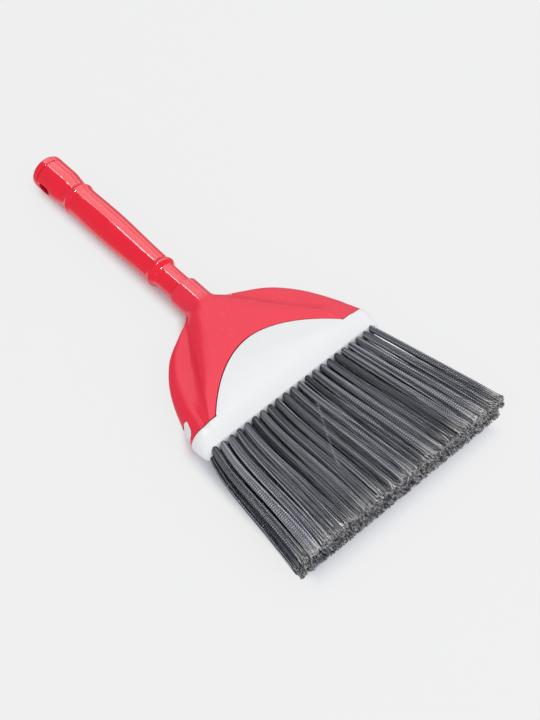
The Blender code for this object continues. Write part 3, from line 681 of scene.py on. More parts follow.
def hard_plastic(name, colours, seam, roughness, marks_sizes, ripple_depth, specular, coat=0.0, polish=None):
    """Moulded plastic: a colour with a faint cloudiness, paler scuffs that are rougher, a fine ripple, and
    painted shade where its places are marked as lying in the dark.
    """
    made, tree, shader = new_material(name)
    cloud, ripple, scuff = traces_in(tree, marks_sizes)
    # Painted shade: marked places are painted towards a dark colour, standing in for the shadow in seams,
    # holes and inside the shell.
    painted_shade = figure_of(tree, "ShaderNodeAttribute", output="Fac", attribute_name="painted_shade")
    plain, clouded, worn = colours
    surface = mixed(tree, scuff * SCUFF_PALENESS, mixed(tree, cloud, plain, clouded), worn)
    rough = scuff * SCUFF_ROUGHNESS + cloud * CLOUD_ROUGHNESS + roughness
    if polish:
        low, high, gain = polish
        shine = own_axis(tree, "Y").ramp(low, high, end=gain)
        rough = rough - shine
        coat = shine * (POLISHED_COAT / gain)
    feed_all(shader, {
        "Base Color": mixed(tree, painted_shade ** PAINTED_SHADE_SPREAD * PAINTED_SHADE_DARKNESS, surface, seam), "Roughness": rough,
        "Specular IOR Level": specular, "Coat Weight": coat, "Coat Roughness": COAT_ROUGHNESS,
    })
    add_lift(tree, shader, ripple - scuff * 0.4, ripple_depth)
    return made


COVER_COLOURS = (0.735, 0.021, 0.052), (0.755, 0.027, 0.058), (0.90, 0.20, 0.22)
# The dark red on the next line is painted shade for the red parts, and the spread and darkness further down
# set how marked places are painted with it.
RED_PAINTED_SHADE = (0.05, 0.012, 0.02)
SCUFF_PALENESS = 0.5
SCUFF_ROUGHNESS = 0.18
CLOUD_ROUGHNESS = 0.05
PAINTED_SHADE_SPREAD = 0.3
PAINTED_SHADE_DARKNESS = 0.95
COAT_ROUGHNESS = 0.04
POLISHED_COAT = 0.7
BELL_END = ROOT_LINE.y + BELL_TOP
marks = marks_recipe()
cover_red = hard_plastic(
    "cover_red", COVER_COLOURS, RED_PAINTED_SHADE, 0.27,
    {"Cloud size": 35 * MM, "Ripple size": 2.2 * MM, "Scuff size": 1.6 * MM, "Scuff share": 0.35},
    ripple_depth=0.03 * MM, specular=0.20, polish=(BELL_END - 6 * MM, BELL_END + 1 * MM, 0.17),
)
add_piece("cover_shell", cover_shell(), cover_red, "head", "head_cover")

# Brush block: one white moulding. Its rounded foot holds the tufts, its flat top edge carries the cover, a
# bell plate fills each window, and a catch on a springy arm snaps into each of the cover's side windows.

BLOCK_TOP = PARTING_LINE - 0.6 * MM
BLOCK_FOOT = -5.4 * MM
BLOCK_ROUND_START = 9.0 * MM
BLOCK_FOOT_HALF_THICK = 3.2 * MM
BLOCK_END_ROUND = 3.0 * MM
BLOCK_FACE_POWER = 1.4
BLOCK_END_POWER = 2.6
BLOCK_EDGE_ROUND = 0.35 * MM
PLATE_THICKNESS = 2.2 * MM
PLATE_GAP = 0.75 * MM
PLATE_COLUMNS = 24
PLATE_ARCH_STEPS = 48
FOOT_ROWS = 14
CATCH_INSIDE = 10.5 * MM
CATCH_DOME = ((1.0, 0.5), (0.985, 0.22), (0.95, 0.06), (0.88, 0.0), (0.6, 0.0), (0.3, 0.0), (0.02, 0.0))
HOLE_RADIUS = 2.6 * MM
HOLE_DEPTH = 10.0 * MM
HOLE_OVERRUN = 4 * MM
HOLE_SIDES = 20
ROWS = {"front": 1, "middle": 0, "back": -1}
FRONT_TUFTS = 22
TUFT_PITCH = 7.44 * MM
ROW_SPACING = 5.1 * MM
ROW_TAPER_SHARE = 0.12
TIP_SPREAD_SHARE = 0.225
TIP_ROW_SPACING = 9.7 * MM
BRISTLE_REACH = 116.0 * MM
FOOT_HEIGHTS = {1: -3.8 * MM, 0: BLOCK_FOOT, -1: -3.8 * MM}
# Where the block gets painted shade: its reach into the gap at the plates' edges, and its start, reach, inset
# and strength on the foot.
PLATE_SHADE_REACH = 0.5 * MM
FOOT_SHADE_START = -2.6 * MM
FOOT_SHADE_REACH = 2.5 * MM
FOOT_SHADE_INSET = 6 * MM
FOOT_SHADE = 0.5


def block_quarter(height):
    """A quarter of the block's cross-section: the bell's lowest one, drawn in towards the foot."""
    fall = min(max(BLOCK_ROUND_START - height, 0) / (BLOCK_ROUND_START - BLOCK_FOOT), 1)
    face, end = ((1 - fall ** power) ** (1 / power) for power in (BLOCK_FACE_POWER, BLOCK_END_POWER))
    thick = BLOCK_FOOT_HALF_THICK + (HEAD_HALF_THICK - BLOCK_FOOT_HALF_THICK) * face
    width = HEAD_HALF_WIDTH - BLOCK_END_ROUND * (1 - end)
    widest = bell_section(PARTING_LINE).width
    plate_side = (ARCH_HALF_WIDTH - PLATE_GAP) * widest / HEAD_HALF_WIDTH
    ring = [(plate_side * step / PLATE_COLUMNS, HEAD_HALF_THICK) for step in range(PLATE_COLUMNS)]
    ring += bell_quarter(PARTING_LINE, plate_side)
    return [(x * width / widest, z * thick / HEAD_HALF_THICK) for x, z in ring]


def full_ring(quarter):
    """Mirror a quarter, from the middle to the side, into a closed outline."""
    right = quarter + [(x, -z) for x, z in quarter[-2::-1]]
    return right + [(-x, z) for x, z in right[-2:0:-1]]


def tuft_spots():
    """Root and direction of every tuft: each leans outwards, towards where its tip ends."""
    spots = []
    for row in ROWS.values():
        count = FRONT_TUFTS + (row == 0)
        for index in range(count):
            place = index - (count - 1) / 2
            across = place * TUFT_PITCH
            depth = row * ROW_SPACING * (1 - ROW_TAPER_SHARE * (2 * place / (count - 1)) ** 2)
            root = Vector((across, FOOT_HEIGHTS[row], depth))
            tip = Vector((across * (1 + TIP_SPREAD_SHARE), -BRISTLE_REACH, row * TIP_ROW_SPACING))
            spots.append((root, (tip - root).normalized()))
    return spots


def plate_arch(face):
    """Arched edge of a bell plate, on the front face or the back one."""
    shares = [math.cos(math.pi * step / PLATE_ARCH_STEPS) for step in range(2, PLATE_ARCH_STEPS - 1)]
    return [(
        (ARCH_HALF_WIDTH - PLATE_GAP) * share,
        PARTING_LINE + (ARCH_HEIGHT - PLATE_GAP) * (1 - abs(share) ** ARCH_POWER),
        face * HEAD_HALF_THICK,
    ) for share in shares]


def block_body():
    """The band with the rounded foot, and the two bell plates that stand on it."""
    bm = bmesh.new()
    falls = [1 - math.sin(math.pi / 2 * step / FOOT_ROWS) for step in range(FOOT_ROWS, -1, -1)]
    heights = [BLOCK_FOOT + (BLOCK_ROUND_START - BLOCK_FOOT) * fall for fall in falls]
    rings = [[(x, height, z) for x, z in full_ring(block_quarter(height))] for height in heights]
    rings.append([(x, BLOCK_TOP, z) for x, _, z in rings[-1]])
    rows = [[bm.verts.new(point) for point in ring] for ring in rings]
    top, under = rows[-1], rows[-2]
    count, side = len(top), PLATE_COLUMNS
    back = count // 2
    flat = [i % count for i in range(-side, side + 1)]
    flat_back = list(range(back - side, back + side + 1))
    for near, far in zip(rows, rows[1:]):
        for i in range(count):
            j = (i + 1) % count
            in_plate = any(i in run and j in run for run in (flat, flat_back))
            if not (near is under and in_plate):
                bm.faces.new((near[i], near[j], far[j], far[i]))
    bm.faces.new(rows[0][::-1])
    for i in flat[1:-1] + flat_back[1:-1]:
        bm.verts.remove(top[i])
    inner_corners = []
    sharp = []
    for face, run in ((1, flat), (-1, flat_back[::-1])):
        front = [top[run[-1]]] + [bm.verts.new(point) for point in plate_arch(face)] + [top[run[0]]]
        depth = face * (HEAD_HALF_THICK - PLATE_THICKNESS)
        behind = [bm.verts.new((v.co.x, v.co.y, depth)) for v in front]
        bm.faces.new(front + [under[i] for i in run])
        for a, b, c, d in zip(front, front[1:], behind[1:], behind):
            bm.faces.new((a, b, c, d))
            sharp.append((a, b))
        bm.faces.new(behind)
        inner_corners.append((behind[0], behind[-1]))
    (front_right, front_left), (back_right, back_left) = inner_corners
    right_side = top[side:back - side + 1]
    left_side = top[back + side:count - side + 1]
    bm.faces.new([front_right] + right_side + [back_right, back_left] + left_side + [front_left])
    for run in (right_side, left_side):
        sharp += list(zip(run, run[1:]))
    bmesh.ops.recalc_face_normals(bm, faces=bm.faces)
    edges = [edge for edge in map(bm.edges.get, sharp) if edge]
    bmesh.ops.bevel(bm, geom=edges, offset=BLOCK_EDGE_ROUND, segments=3, profile=0.5, affect="EDGES")
    bmesh.ops.recalc_face_normals(bm, faces=bm.faces)
    return bm


def ring_around(centre, radius, sides, one=Vector((1, 0, 0)), other=Vector((0, 0, 1))):
    """Points around a centre, in the plane of two directions."""
    angles = [2 * math.pi * side / sides for side in range(sides)]
    return [centre + radius * (math.cos(a) * one + math.sin(a) * other) for a in angles]


def tuft_holes():
    """Round tools that leave a blind hole for each tuft, along the way that the tuft leans."""
    tools = bmesh.new()
    for root, lean in tuft_spots():
        one = lean.cross(Vector((0, 0, 1))).normalized()
        other = lean.cross(one)
        ends = (root - lean * HOLE_DEPTH, root + lean * HOLE_OVERRUN)
        add_tube(tools, [ring_around(end, HOLE_RADIUS, HOLE_SIDES, one, other) for end in ends])
    return tools


def add_catch(bm, side):
    """Catch head in a side window: a rounded block whose face follows the cover's side."""
    outline = catch_outline(SEAM_GAP)
    middle = (CATCH_LOW + CATCH_HIGH) / 2
    rings = [[(side * (HEAD_HALF_WIDTH - CATCH_INSIDE), height, z) for height, z in outline]]
    for share, drop in CATCH_DOME:
        ring = []
        for height, z in outline:
            height = middle + (height - middle) * share
            section = bell_section(height)
            cosine = (abs(z * share) / section.ridge_height) ** (WING_EDGE_POWER / 2)
            reach = (1 - cosine ** 2) ** (1 / WING_EDGE_POWER)
            out = section.ridge + (section.width - section.ridge) * reach - drop * MM
            ring.append((side * out, height, z * share))
        rings.append(ring)
    add_tube(bm, rings)


def block_mesh():
    """The whole block, with its holes, its catches, and painted shade on the parts that lie in the dark of a
    seam or a hole.
    """
    bm = cut(block_body(), tuft_holes())
    catches = bmesh.new()
    for side in (1, -1):
        add_catch(catches, side)
    bmesh.ops.recalc_face_normals(catches, faces=catches.faces)
    kept = bpy.data.meshes.new("catches")
    catches.to_mesh(kept)
    catches.free()
    bm.from_mesh(kept)
    bpy.data.meshes.remove(kept)
    # Painted shade: the plates' edges are painted darker where they run down into the gap under the cover,
    # and so is the foot between the tufts below the band.
    painted_shade = bm.verts.layers.float.new("painted_shade")
    for vert in bm.verts:
        across, height, depth = abs(vert.co.x), vert.co.y, HEAD_HALF_THICK - abs(vert.co.z)
        if height > BLOCK_TOP - 0.1 * MM and across < HEAD_HALF_WIDTH - CATCH_INSIDE:
            vert[painted_shade] = min(max(depth - BLOCK_EDGE_ROUND, 0) / PLATE_SHADE_REACH, 1)
        elif height < FOOT_SHADE_START and across < HEAD_HALF_WIDTH - FOOT_SHADE_INSET:
            vert[painted_shade] = min((FOOT_SHADE_START - height) / FOOT_SHADE_REACH, 1) ** 2 * FOOT_SHADE
    return bm


WHITE_COLOURS = (0.690, 0.697, 0.703), (0.708, 0.713, 0.717), (0.68, 0.69, 0.70)
# Painted shade colour for the white parts: the dark that marked places are painted towards.
WHITE_PAINTED_SHADE = (0.06, 0.06, 0.065)
block_white = hard_plastic(
    "block_white", WHITE_COLOURS, WHITE_PAINTED_SHADE, 0.34,
    {"Cloud size": 22 * MM, "Ripple size": 3 * MM, "Scuff size": 2 * MM, "Scuff share": 0.2},
    ripple_depth=0.02 * MM, specular=0.2,
)
add_piece("tuft_block", block_mesh(), block_white, "head", "brush_block")

# Handle: one hollow red moulding with a high polish. A ring bead marks each end of the swelling grip, the
# barrel above the waist has a hang slot through it, and the plain neck screws down into the cover's socket.

PLUG_END = 87.3 * MM
PLUG_CHAMFER = 1.0 * MM
COLLAR_BEAD_PLACE = 149.7 * MM
COLLAR_BEAD_HEIGHT = 1.3 * MM
COLLAR_BEAD_HALF = 5.0 * MM
GRIP_LOW_RADIUS = 12.0 * MM
GRIP_RADIUS = 13.8 * MM
GRIP_LENGTH = 104.3 * MM
GRIP_WIDEST_SHARE = 0.66
GRIP_WIDEST = COLLAR_BEAD_PLACE + GRIP_WIDEST_SHARE * GRIP_LENGTH
GRIP_END_RADIUS = 13.4 * MM
END_BEAD_PLACE = COLLAR_BEAD_PLACE + GRIP_LENGTH
END_BEAD_HEIGHT = 1.0 * MM
END_BEAD_HALF = 4.2 * MM
WAIST_PLACE = END_BEAD_PLACE + 5.5 * MM
WAIST_RADIUS = 13.1 * MM
BARREL_PLACE = WAIST_PLACE + 16.5 * MM
BARREL_RADIUS = 14.8 * MM
CAP_SEAM = BARREL_PLACE + 15.0 * MM
SEAM_ROUND = 0.4 * MM
HANDLE_WALL = 2.3 * MM
BORE_WIDENS = COLLAR_BEAD_PLACE + 12.3 * MM
HANG_SLOT_HIGH = CAP_SEAM - 1.9 * MM
HANG_SLOT_LOW = HANG_SLOT_HIGH - 13.0 * MM
HANG_SLOT_HALF = 3.75 * MM
SLOT_FLARE = 2.5 * MM
SLOT_FLARE_START = BARREL_RADIUS - 0.7 * MM
TURN_STEPS = 96
NECK_STEPS = 12
BEND_STEPS = 14
GRIP_STEPS = 26
GRIP_END_STEPS = 12
BARREL_STEPS = 8
SLOT_CORNER_STEPS = 8


def eased(start, end, steps):
    """Points of a profile that swings smoothly from one radius to the next."""
    points = []
    for step in range(1, steps + 1):
        share = step / steps
        points.append((
            start[0] + (end[0] - start[0]) * gathered(step, steps), start[1] + (end[1] - start[1]) * share))
    return points


def bead(low_radius, high_radius, peak, place, half):
    """Round ring bead on a profile, with a small hollow at its foot on either side."""
    points = []
    for step in range(BEND_STEPS + 1):
        share = step / BEND_STEPS
        base = low_radius + (high_radius - low_radius) * share
        swell = math.sin(math.pi * share) ** 2
        points.append((base + (peak - base) * swell, place + half * (2 * share - 1)))
    return points


def turned(profile):
    """Turn a closed profile of (radius, height) points about the handle's axis."""
    bm = bmesh.new()
    angles = [2 * math.pi * step / TURN_STEPS for step in range(TURN_STEPS)]
    rings = []
    for radius, height in profile:
        if radius == 0:
            rings.append([bm.verts.new((0, height, 0))] * TURN_STEPS)
        else:
            rings.append([bm.verts.new((radius * math.cos(a), height, radius * math.sin(a))) for a in angles])
    for near, far in zip(rings, rings[1:]):
        for i in range(TURN_STEPS):
            j = (i + 1) % TURN_STEPS
            bm.faces.new(list(dict.fromkeys((near[i], near[j], far[j], far[i]))))
    bmesh.ops.recalc_face_normals(bm, faces=bm.faces)
    return bm


def handle_profile():
    """Outside from the neck's end to the cap seam, then the bore back down to its floor."""
    neck_end = COLLAR_BEAD_PLACE - COLLAR_BEAD_HALF
    profile = [(0, PLUG_END), (NECK_RADIUS - PLUG_CHAMFER, PLUG_END), (NECK_RADIUS, PLUG_END + PLUG_CHAMFER)]
    for step in range(1, NECK_STEPS):
        profile.append((NECK_RADIUS, PLUG_END + (neck_end - PLUG_END) * step / NECK_STEPS))
    collar = GRIP_LOW_RADIUS + COLLAR_BEAD_HEIGHT
    profile += bead(NECK_RADIUS, GRIP_LOW_RADIUS, collar, COLLAR_BEAD_PLACE, COLLAR_BEAD_HALF)
    profile += eased(profile[-1], (GRIP_RADIUS, GRIP_WIDEST), GRIP_STEPS)
    profile += eased(profile[-1], (GRIP_END_RADIUS, END_BEAD_PLACE - END_BEAD_HALF), GRIP_END_STEPS)
    peak = GRIP_END_RADIUS + END_BEAD_HEIGHT
    profile += bead(GRIP_END_RADIUS, WAIST_RADIUS, peak, END_BEAD_PLACE, END_BEAD_HALF)[1:]
    profile.append((WAIST_RADIUS, WAIST_PLACE))
    profile += eased(profile[-1], (BARREL_RADIUS, BARREL_PLACE), BEND_STEPS)
    for step in range(1, BARREL_STEPS):
        length = CAP_SEAM - SEAM_ROUND - BARREL_PLACE
        profile.append((BARREL_RADIUS, BARREL_PLACE + length * step / BARREL_STEPS))
    profile += [(BARREL_RADIUS - drop, CAP_SEAM - away) for away, drop in round_steps(SEAM_ROUND)[::-1]]
    bore = BARREL_RADIUS - HANDLE_WALL
    profile.append((bore, CAP_SEAM))
    for outside, place in (
        (BARREL_RADIUS, BARREL_PLACE), (WAIST_RADIUS, WAIST_PLACE), (GRIP_END_RADIUS, END_BEAD_PLACE),
        (GRIP_RADIUS, GRIP_WIDEST), (NECK_RADIUS, BORE_WIDENS), (NECK_RADIUS, PLUG_END + HANDLE_WALL),
    ):
        bore = min(bore, outside - HANDLE_WALL)
        profile.append((bore, place))
    return profile + [(0, PLUG_END + HANDLE_WALL)]


def slot_tool():
    """Tool for the hang slot, flared where it leaves the barrel so that the slot's rim is chamfered."""
    tool = bmesh.new()
    rings = []
    outside = SLOT_FLARE_START + SLOT_FLARE
    for depth, grown in (
        (-outside, SLOT_FLARE), (-SLOT_FLARE_START, 0), (SLOT_FLARE_START, 0), (outside, SLOT_FLARE),
    ):
        half = HANG_SLOT_HALF + grown
        outline = rounded_slot(HANG_SLOT_LOW - grown, HANG_SLOT_HIGH + grown, half, half, SLOT_CORNER_STEPS)
        rings.append([(depth, height, z) for height, z in outline])
    add_tube(tool, rings)
    bmesh.ops.remove_doubles(tool, verts=tool.verts, dist=SAME_SPOT)
    return tool


GRIP_COLOURS = (0.76, 0.008, 0.030), (0.79, 0.012, 0.034), (0.90, 0.20, 0.22)
handle_red = hard_plastic(
    "handle_red", GRIP_COLOURS, RED_PAINTED_SHADE, 0.07,
    {"Cloud size": 30 * MM, "Ripple size": 12 * MM, "Scuff size": 1.6 * MM, "Scuff share": 0.02},
    ripple_depth=0.003 * MM, specular=0.55, coat=0.2,
)
handle = cut(turned(handle_profile()), slot_tool())
add_piece("handle_grip", handle, handle_red, "grip", "handle")

# End cap: a short red plug cap, moulded in the handle's plastic. Its spigot is pressed into the barrel,
# which it closes, and a fine groove parts the two.

CAP_LENGTH = 7.0 * MM
CAP_GROOVE = 0.55 * MM
CAP_EDGE_ROUND = 1.8 * MM
CAP_DISH = 0.15 * MM
CAP_HALF_DISH = 0.1 * MM
SPIGOT_LENGTH = 1.4 * MM


def cap_profile():
    """Outside from the middle of the end face to the groove, then the spigot and the hollow inside it."""
    low, high = CAP_SEAM + CAP_GROOVE, CAP_SEAM + CAP_LENGTH
    spigot = BARREL_RADIUS - HANDLE_WALL - SEAM_GAP
    profile = [(0, high - CAP_DISH), (BARREL_RADIUS / 2, high - CAP_HALF_DISH)]
    profile += [(BARREL_RADIUS - drop, high - away) for drop, away in round_steps(CAP_EDGE_ROUND)[::-1]]
    profile += [(BARREL_RADIUS - drop, low + away) for away, drop in round_steps(SEAM_ROUND)[::-1]]
    return profile + [
        (spigot, low), (spigot, CAP_SEAM - SPIGOT_LENGTH), (spigot - HANDLE_WALL, CAP_SEAM - SPIGOT_LENGTH),
        (spigot - HANDLE_WALL, high - HANDLE_WALL), (0, high - HANDLE_WALL),
    ]


cap_red = hard_plastic(
    "cap_red", GRIP_COLOURS, RED_PAINTED_SHADE, 0.10,
    {"Cloud size": 30 * MM, "Ripple size": 10 * MM, "Scuff size": 1.6 * MM, "Scuff share": 0.15},
    ripple_depth=0.003 * MM, specular=0.55, coat=0.2,
)
add_piece("end_cap_shell", turned(cap_profile()), cap_red, "grip", "end_cap")

# Bristles: 67 tufts of dark grey crimped polypropylene in three rows, 22 in front, 23 in the middle and 22 at
# the back. Each tuft is a bundle of filaments doubled over a flat wire and driven into its hole.
# They leave the block as tight round bundles, fan out, and are trimmed level at the tips.

FILAMENTS = 80
LOCKS = 20
FILAMENT_POINTS = 16
FILAMENT_RADIUS = 0.23 * MM
MOUTH_RADIUS = 2.25 * MM
TUFT_RADIUS = 2.55 * MM
TUFT_TIP_RADIUS = 4.4 * MM
LOCK_TIP_RADIUS = 0.68 * MM
LOCK_DRIFT = 1.1 * MM
HIDDEN_ROW_DRIFT = 1.5 * LOCK_DRIFT
UNEVENNESS = 2.2 * MM
ROW_BOW = 0.9 * MM
SIDE_SWEEP = 2.6 * MM
LEAN = 2.6 * MM
TIP_SLANT = 4.5 * MM
BRISTLE_START = 2 * MM
TRIMMED = 0.4 * MM
BACK_TIPS_UP = 1.6 * MM
BOX_HALF_WIDTH = 103.4 * MM
BOX_HALF_THICK = 14.4 * MM
SPLIT_ENDS = 1
SPLIT_POINTS = 4
SPLIT_RADIUS = 0.33 * MM
FIRST_SEED = 7
GOLDEN_ANGLE = math.pi * (3 - math.sqrt(5))
ROW_SIZES = {
    label: 0 for label in ("Tufts", "Filaments", "Locks", "Points", "Split ends", "Seed")
} | {
    label: 0.0 for label in (
        "Pitch", "Depth", "Depth lost at the ends", "Root height", "Tip height", "Tip depth", "Tip spread",
        "Mouth radius", "Tuft radius", "Tip radius", "Lock tip radius", "Lock drift", "Filament radius",
        "Unevenness", "Row bow", "Side sweep", "Lean", "Tip slant", "Half width", "Half thickness",
    )
} | {"Material": None}


def head_place(tree, x, y, z):
    """A place from the middle of the tufts' root line, as one in the broom's own space."""
    spot = add_node(tree, "ShaderNodeCombineXYZ", {"X": x, "Y": y, "Z": z}).outputs[0]
    return add_node(tree, "ShaderNodeVectorMath", {0: spot, 1: ROOT_LINE}, operation="ADD").outputs[0]


class TuftRow:
    """Places of one row's filaments, as figures in a recipe."""

    def __init__(self, name):
        self.tree, self.size, self.made = new_recipe(name, "GeometryNodeTree", ROW_SIZES, ("Geometry",))
        self.index = figure_of(self.tree, "GeometryNodeInputIndex")

    def chance(self, number, draw):
        """A random share between 0 and 1 that belongs to a tuft, a lock or a filament."""
        return figure_of(self.tree, "FunctionNodeRandomValue", {
            "ID": number, "Seed": self.size["Seed"] * 40 + draw}, 1, data_type="FLOAT")

    def numbers(self, filament):
        """A filament's tuft, its lock there, its place in the lock, and the lock's number in the row."""
        tuft = (filament / self.size["Filaments"]).step("FLOOR")
        number = filament - tuft * self.size["Filaments"]
        in_lock = self.size["Filaments"] / self.size["Locks"]
        lock = (number / in_lock + 0.001).step("FLOOR")
        return tuft, lock, number - lock * in_lock, tuft * self.size["Locks"] + lock

    def spot(self, filament, along, beside=(0, 0, 0)):
        """Place of a filament at a share of its length, moved aside a little and kept inside the box."""
        size, chance = self.size, self.chance
        tuft, lock, inside, lock_number = self.numbers(filament)
        place = tuft - (size["Tufts"] - 1) / 2
        to_left = 0.5 - place / size["Tufts"]
        end_share = (place / ((size["Tufts"] - 1) / 2)) ** 2.0
        depth = size["Depth"] * (1 - end_share * size["Depth lost at the ends"])
        flare = (along * 12).step("MINIMUM", 1.0)
        tight = size["Mouth radius"] + (size["Tuft radius"] - size["Mouth radius"]) * (flare * (2 - flare))
        opened = along ** 1.35
        lock_angle = lock * GOLDEN_ANGLE + chance(tuft, 1) * (2 * math.pi)
        lock_out = ((lock + 0.5) / size["Locks"]) ** 0.5 * 0.80
        parted = chance(lock_number, 3) * 0.6 + 0.9
        tip_out = size["Tip radius"] * lock_out * parted * (1 - end_share ** 3 * 0.45)
        lock_reach = tight * lock_out + (tip_out - tight * lock_out) * opened
        own_angle = inside * GOLDEN_ANGLE + chance(lock_number, 2) * (2 * math.pi)
        own_out = ((inside + 0.5) * size["Locks"] / size["Filaments"]) ** 0.5 * 0.26
        own_reach = own_out * (tight + (size["Lock tip radius"] * 3.85 - tight) * opened)
        drift = size["Lock drift"] * along ** 1.25 * (1 - end_share ** 3 * 0.8)
        wave = (along * (chance(lock_number, 4) * 5 + 2.5) + chance(lock_number, 5) * 6.28).step("SINE")
        wave = (wave * 0.5 + chance(lock_number, 6) * 2 - 1) * drift
        uneven = size["Unevenness"] * along ** 1.5
        stray = (chance(filament, 7) - 0.975).step("MAXIMUM", 0.0) * 60 + 1
        sweep = to_left * size["Side sweep"] * along * (1 - along) ** 3 * 9.5
        x = (
            place * size["Pitch"] * (along * size["Tip spread"] + 1) + size["Lean"] * along
            + lock_reach * lock_angle.step("COSINE") * (along * 0.2 + 1)
            + own_reach * own_angle.step("COSINE") - sweep + wave
            + (chance(filament, 8) - 0.5) * uneven * stray + beside[0]
        )
        z = (
            depth + (size["Tip depth"] - depth) * along + lock_reach * lock_angle.step("SINE")
            + own_reach * own_angle.step("SINE") + size["Row bow"] * along * (1 - along) * 4
            + (chance(lock_number, 9) - 0.5) * drift + (chance(filament, 10) - 0.5) * uneven + beside[2]
        )
        tip = size["Tip height"] + chance(filament, 11) ** 2 * size["Unevenness"]
        tip = tip + to_left * size["Tip slant"]
        y = size["Root height"] + (tip - size["Root height"]) * along + beside[1]
        x = x / ((x / (size["Half width"] * 1.011)).step("ABSOLUTE") ** 30.0 + 1) ** (1 / 30)
        x = x.step("MINIMUM", size["Half width"]).step("MAXIMUM", size["Half width"] * -1)
        z = z.step("MINIMUM", size["Half thickness"]).step("MAXIMUM", size["Half thickness"] * -1)
        place = head_place(self.tree, x, y.step("MAXIMUM", size["Tip height"]), z)
        return place, along * (size["Root height"] - tip)

    def finish(self, runs, points, run, place, marks):
        """Sweep a three-sided rod along every run of points, with the marks kept for the material."""

        def add(kind, fed, **settings):
            return add_node(self.tree, "GeometryNode" + kind, fed, **settings).outputs[0]

        flow = add("Points", {"Count": runs * points})
        flow = add("SetPosition", {"Geometry": flow, "Position": place})
        for label, value in marks.items():
            flow = add("StoreNamedAttribute", {"Geometry": flow, "Name": label, "Value": value},
                       data_type="FLOAT", domain="POINT")
        curves = add("PointsToCurves", {"Points": flow, "Curve Group ID": run, "Weight": self.index})
        section = add("CurvePrimitiveCircle", {"Resolution": 3, "Radius": self.size["Filament radius"]},
                      mode="RADIUS")
        rods = add("CurveToMesh", {"Curve": curves, "Profile Curve": section, "Fill Caps": True})
        smooth = add("SetShadeSmooth", {"Geometry": add("RealizeInstances", {"Geometry": rods})})
        feed_all(self.made, {"Geometry": add("SetMaterial", {
            "Geometry": smooth, "Material": self.size["Material"]})})
        return self.tree


def filament_recipe():
    """One row's filaments. They stay together in locks, which part from one another towards the tips."""
    row = TuftRow("Row of tufts")
    points = row.size["Points"]
    filament = (row.index / points).step("FLOOR")
    along = (row.index - filament * points) / (points - 1)
    tuft, _, _, lock = row.numbers(filament)
    place, length = row.spot(filament, along)
    return row.finish(row.size["Tufts"] * row.size["Filaments"], points, filament, place, {
        "along": length, "filament": row.chance(filament, 12), "lock": row.chance(lock, 13),
        "tuft": row.chance(tuft, 14),
    })


def split_end_recipe():
    """One row's cut ends. The knife leaves each filament split into short hooked threads."""
    row = TuftRow("Row of split ends")
    thread = (row.index / SPLIT_POINTS).step("FLOOR")
    share = (row.index - thread * SPLIT_POINTS) / (SPLIT_POINTS - 1)
    filament = (thread / row.size["Split ends"]).step("FLOOR")
    along = 1 - (1 - share) * (row.chance(thread, 15) * 0.05 + 0.01)
    turn = row.chance(thread, 16) * (2 * math.pi)
    away = share ** 1.5 * (row.chance(thread, 17) * 1.6 * MM + 0.3 * MM)
    beside = (away * turn.step("COSINE"), share * row.chance(thread, 18) * 1.5 * MM, away * turn.step("SINE"))
    _, _, _, lock = row.numbers(filament)
    place, length = row.spot(filament, along, beside)
    threads = row.size["Tufts"] * row.size["Filaments"] * row.size["Split ends"]
    return row.finish(threads, SPLIT_POINTS, thread, place, {
        "along": length + 4 * MM, "filament": row.chance(thread, 19) ** 1.8, "lock": row.chance(lock, 13),
        "tuft": row.chance(filament, 20),
    })


def made_by(recipe, name, sizes):
    """Run a recipe once, and keep what it makes as a plain mesh object with no modifier."""
    maker = add_object(name + "_maker", bpy.data.meshes.new(name + "_maker"))
    step = maker.modifiers.new("recipe", "NODES")
    step.node_group = recipe
    for socket in recipe.interface.items_tree:
        if socket.in_out == "INPUT" and socket.name in sizes:
            step[socket.identifier] = sizes[socket.name]
    shaped = maker.evaluated_get(bpy.context.evaluated_depsgraph_get())
    mesh = bpy.data.meshes.new_from_object(shaped)
    mesh.name = name
    bpy.data.objects.remove(maker)
    return add_object(name, mesh)


def crimp_recipe():
    """Fine zigzag pressed into every filament, roughly in step within a lock, and the paler cut ends.
    The front row's ends, high up, are pale throughout; lower down, behind it, painted shade leaves mostly
    single ones pale."""
    tree, given, made = new_recipe("Crimped filament", "ShaderNodeTree", {
        "Crimp length": 1.8 * MM, "Length": 113 * MM, "Frayed length": 14 * MM, "Row low": 12 * MM,
        "Row high": 22 * MM,
    }, ("Crimp", "Frayed", "Strand", "Lock"))
    along, strand, lock, tuft = (
        figure_of(tree, "ShaderNodeAttribute", output="Fac", attribute_name=label)
        for label in ("along", "filament", "lock", "tuft"))
    turns = along / given["Crimp length"] * (2 * math.pi) + strand * 2.5 + lock * 6 + tuft * 40
    shown = along.ramp(6 * MM, 50 * MM, 0.35)
    start = given["Length"] - given["Frayed length"]
    frayed = (along + (strand - 0.5) * (12 * MM)).ramp(start, given["Length"])
    # Painted shade: cut ends lower down, nearer the floor, are painted darker than the front row's ends above
    # them.
    front = own_axis(tree, "Z").ramp(given["Row low"], given["Row high"], 0.2)
    feed_all(made, {
        "Crimp": turns.step("SINE") * 0.5 * shown + 0.5,
        "Frayed": frayed * (front + (1 - front) * strand ** 3.0 * 1.3),
        "Strand": strand, "Lock": lock * 0.85 + tuft * 0.15,
    })
    return tree


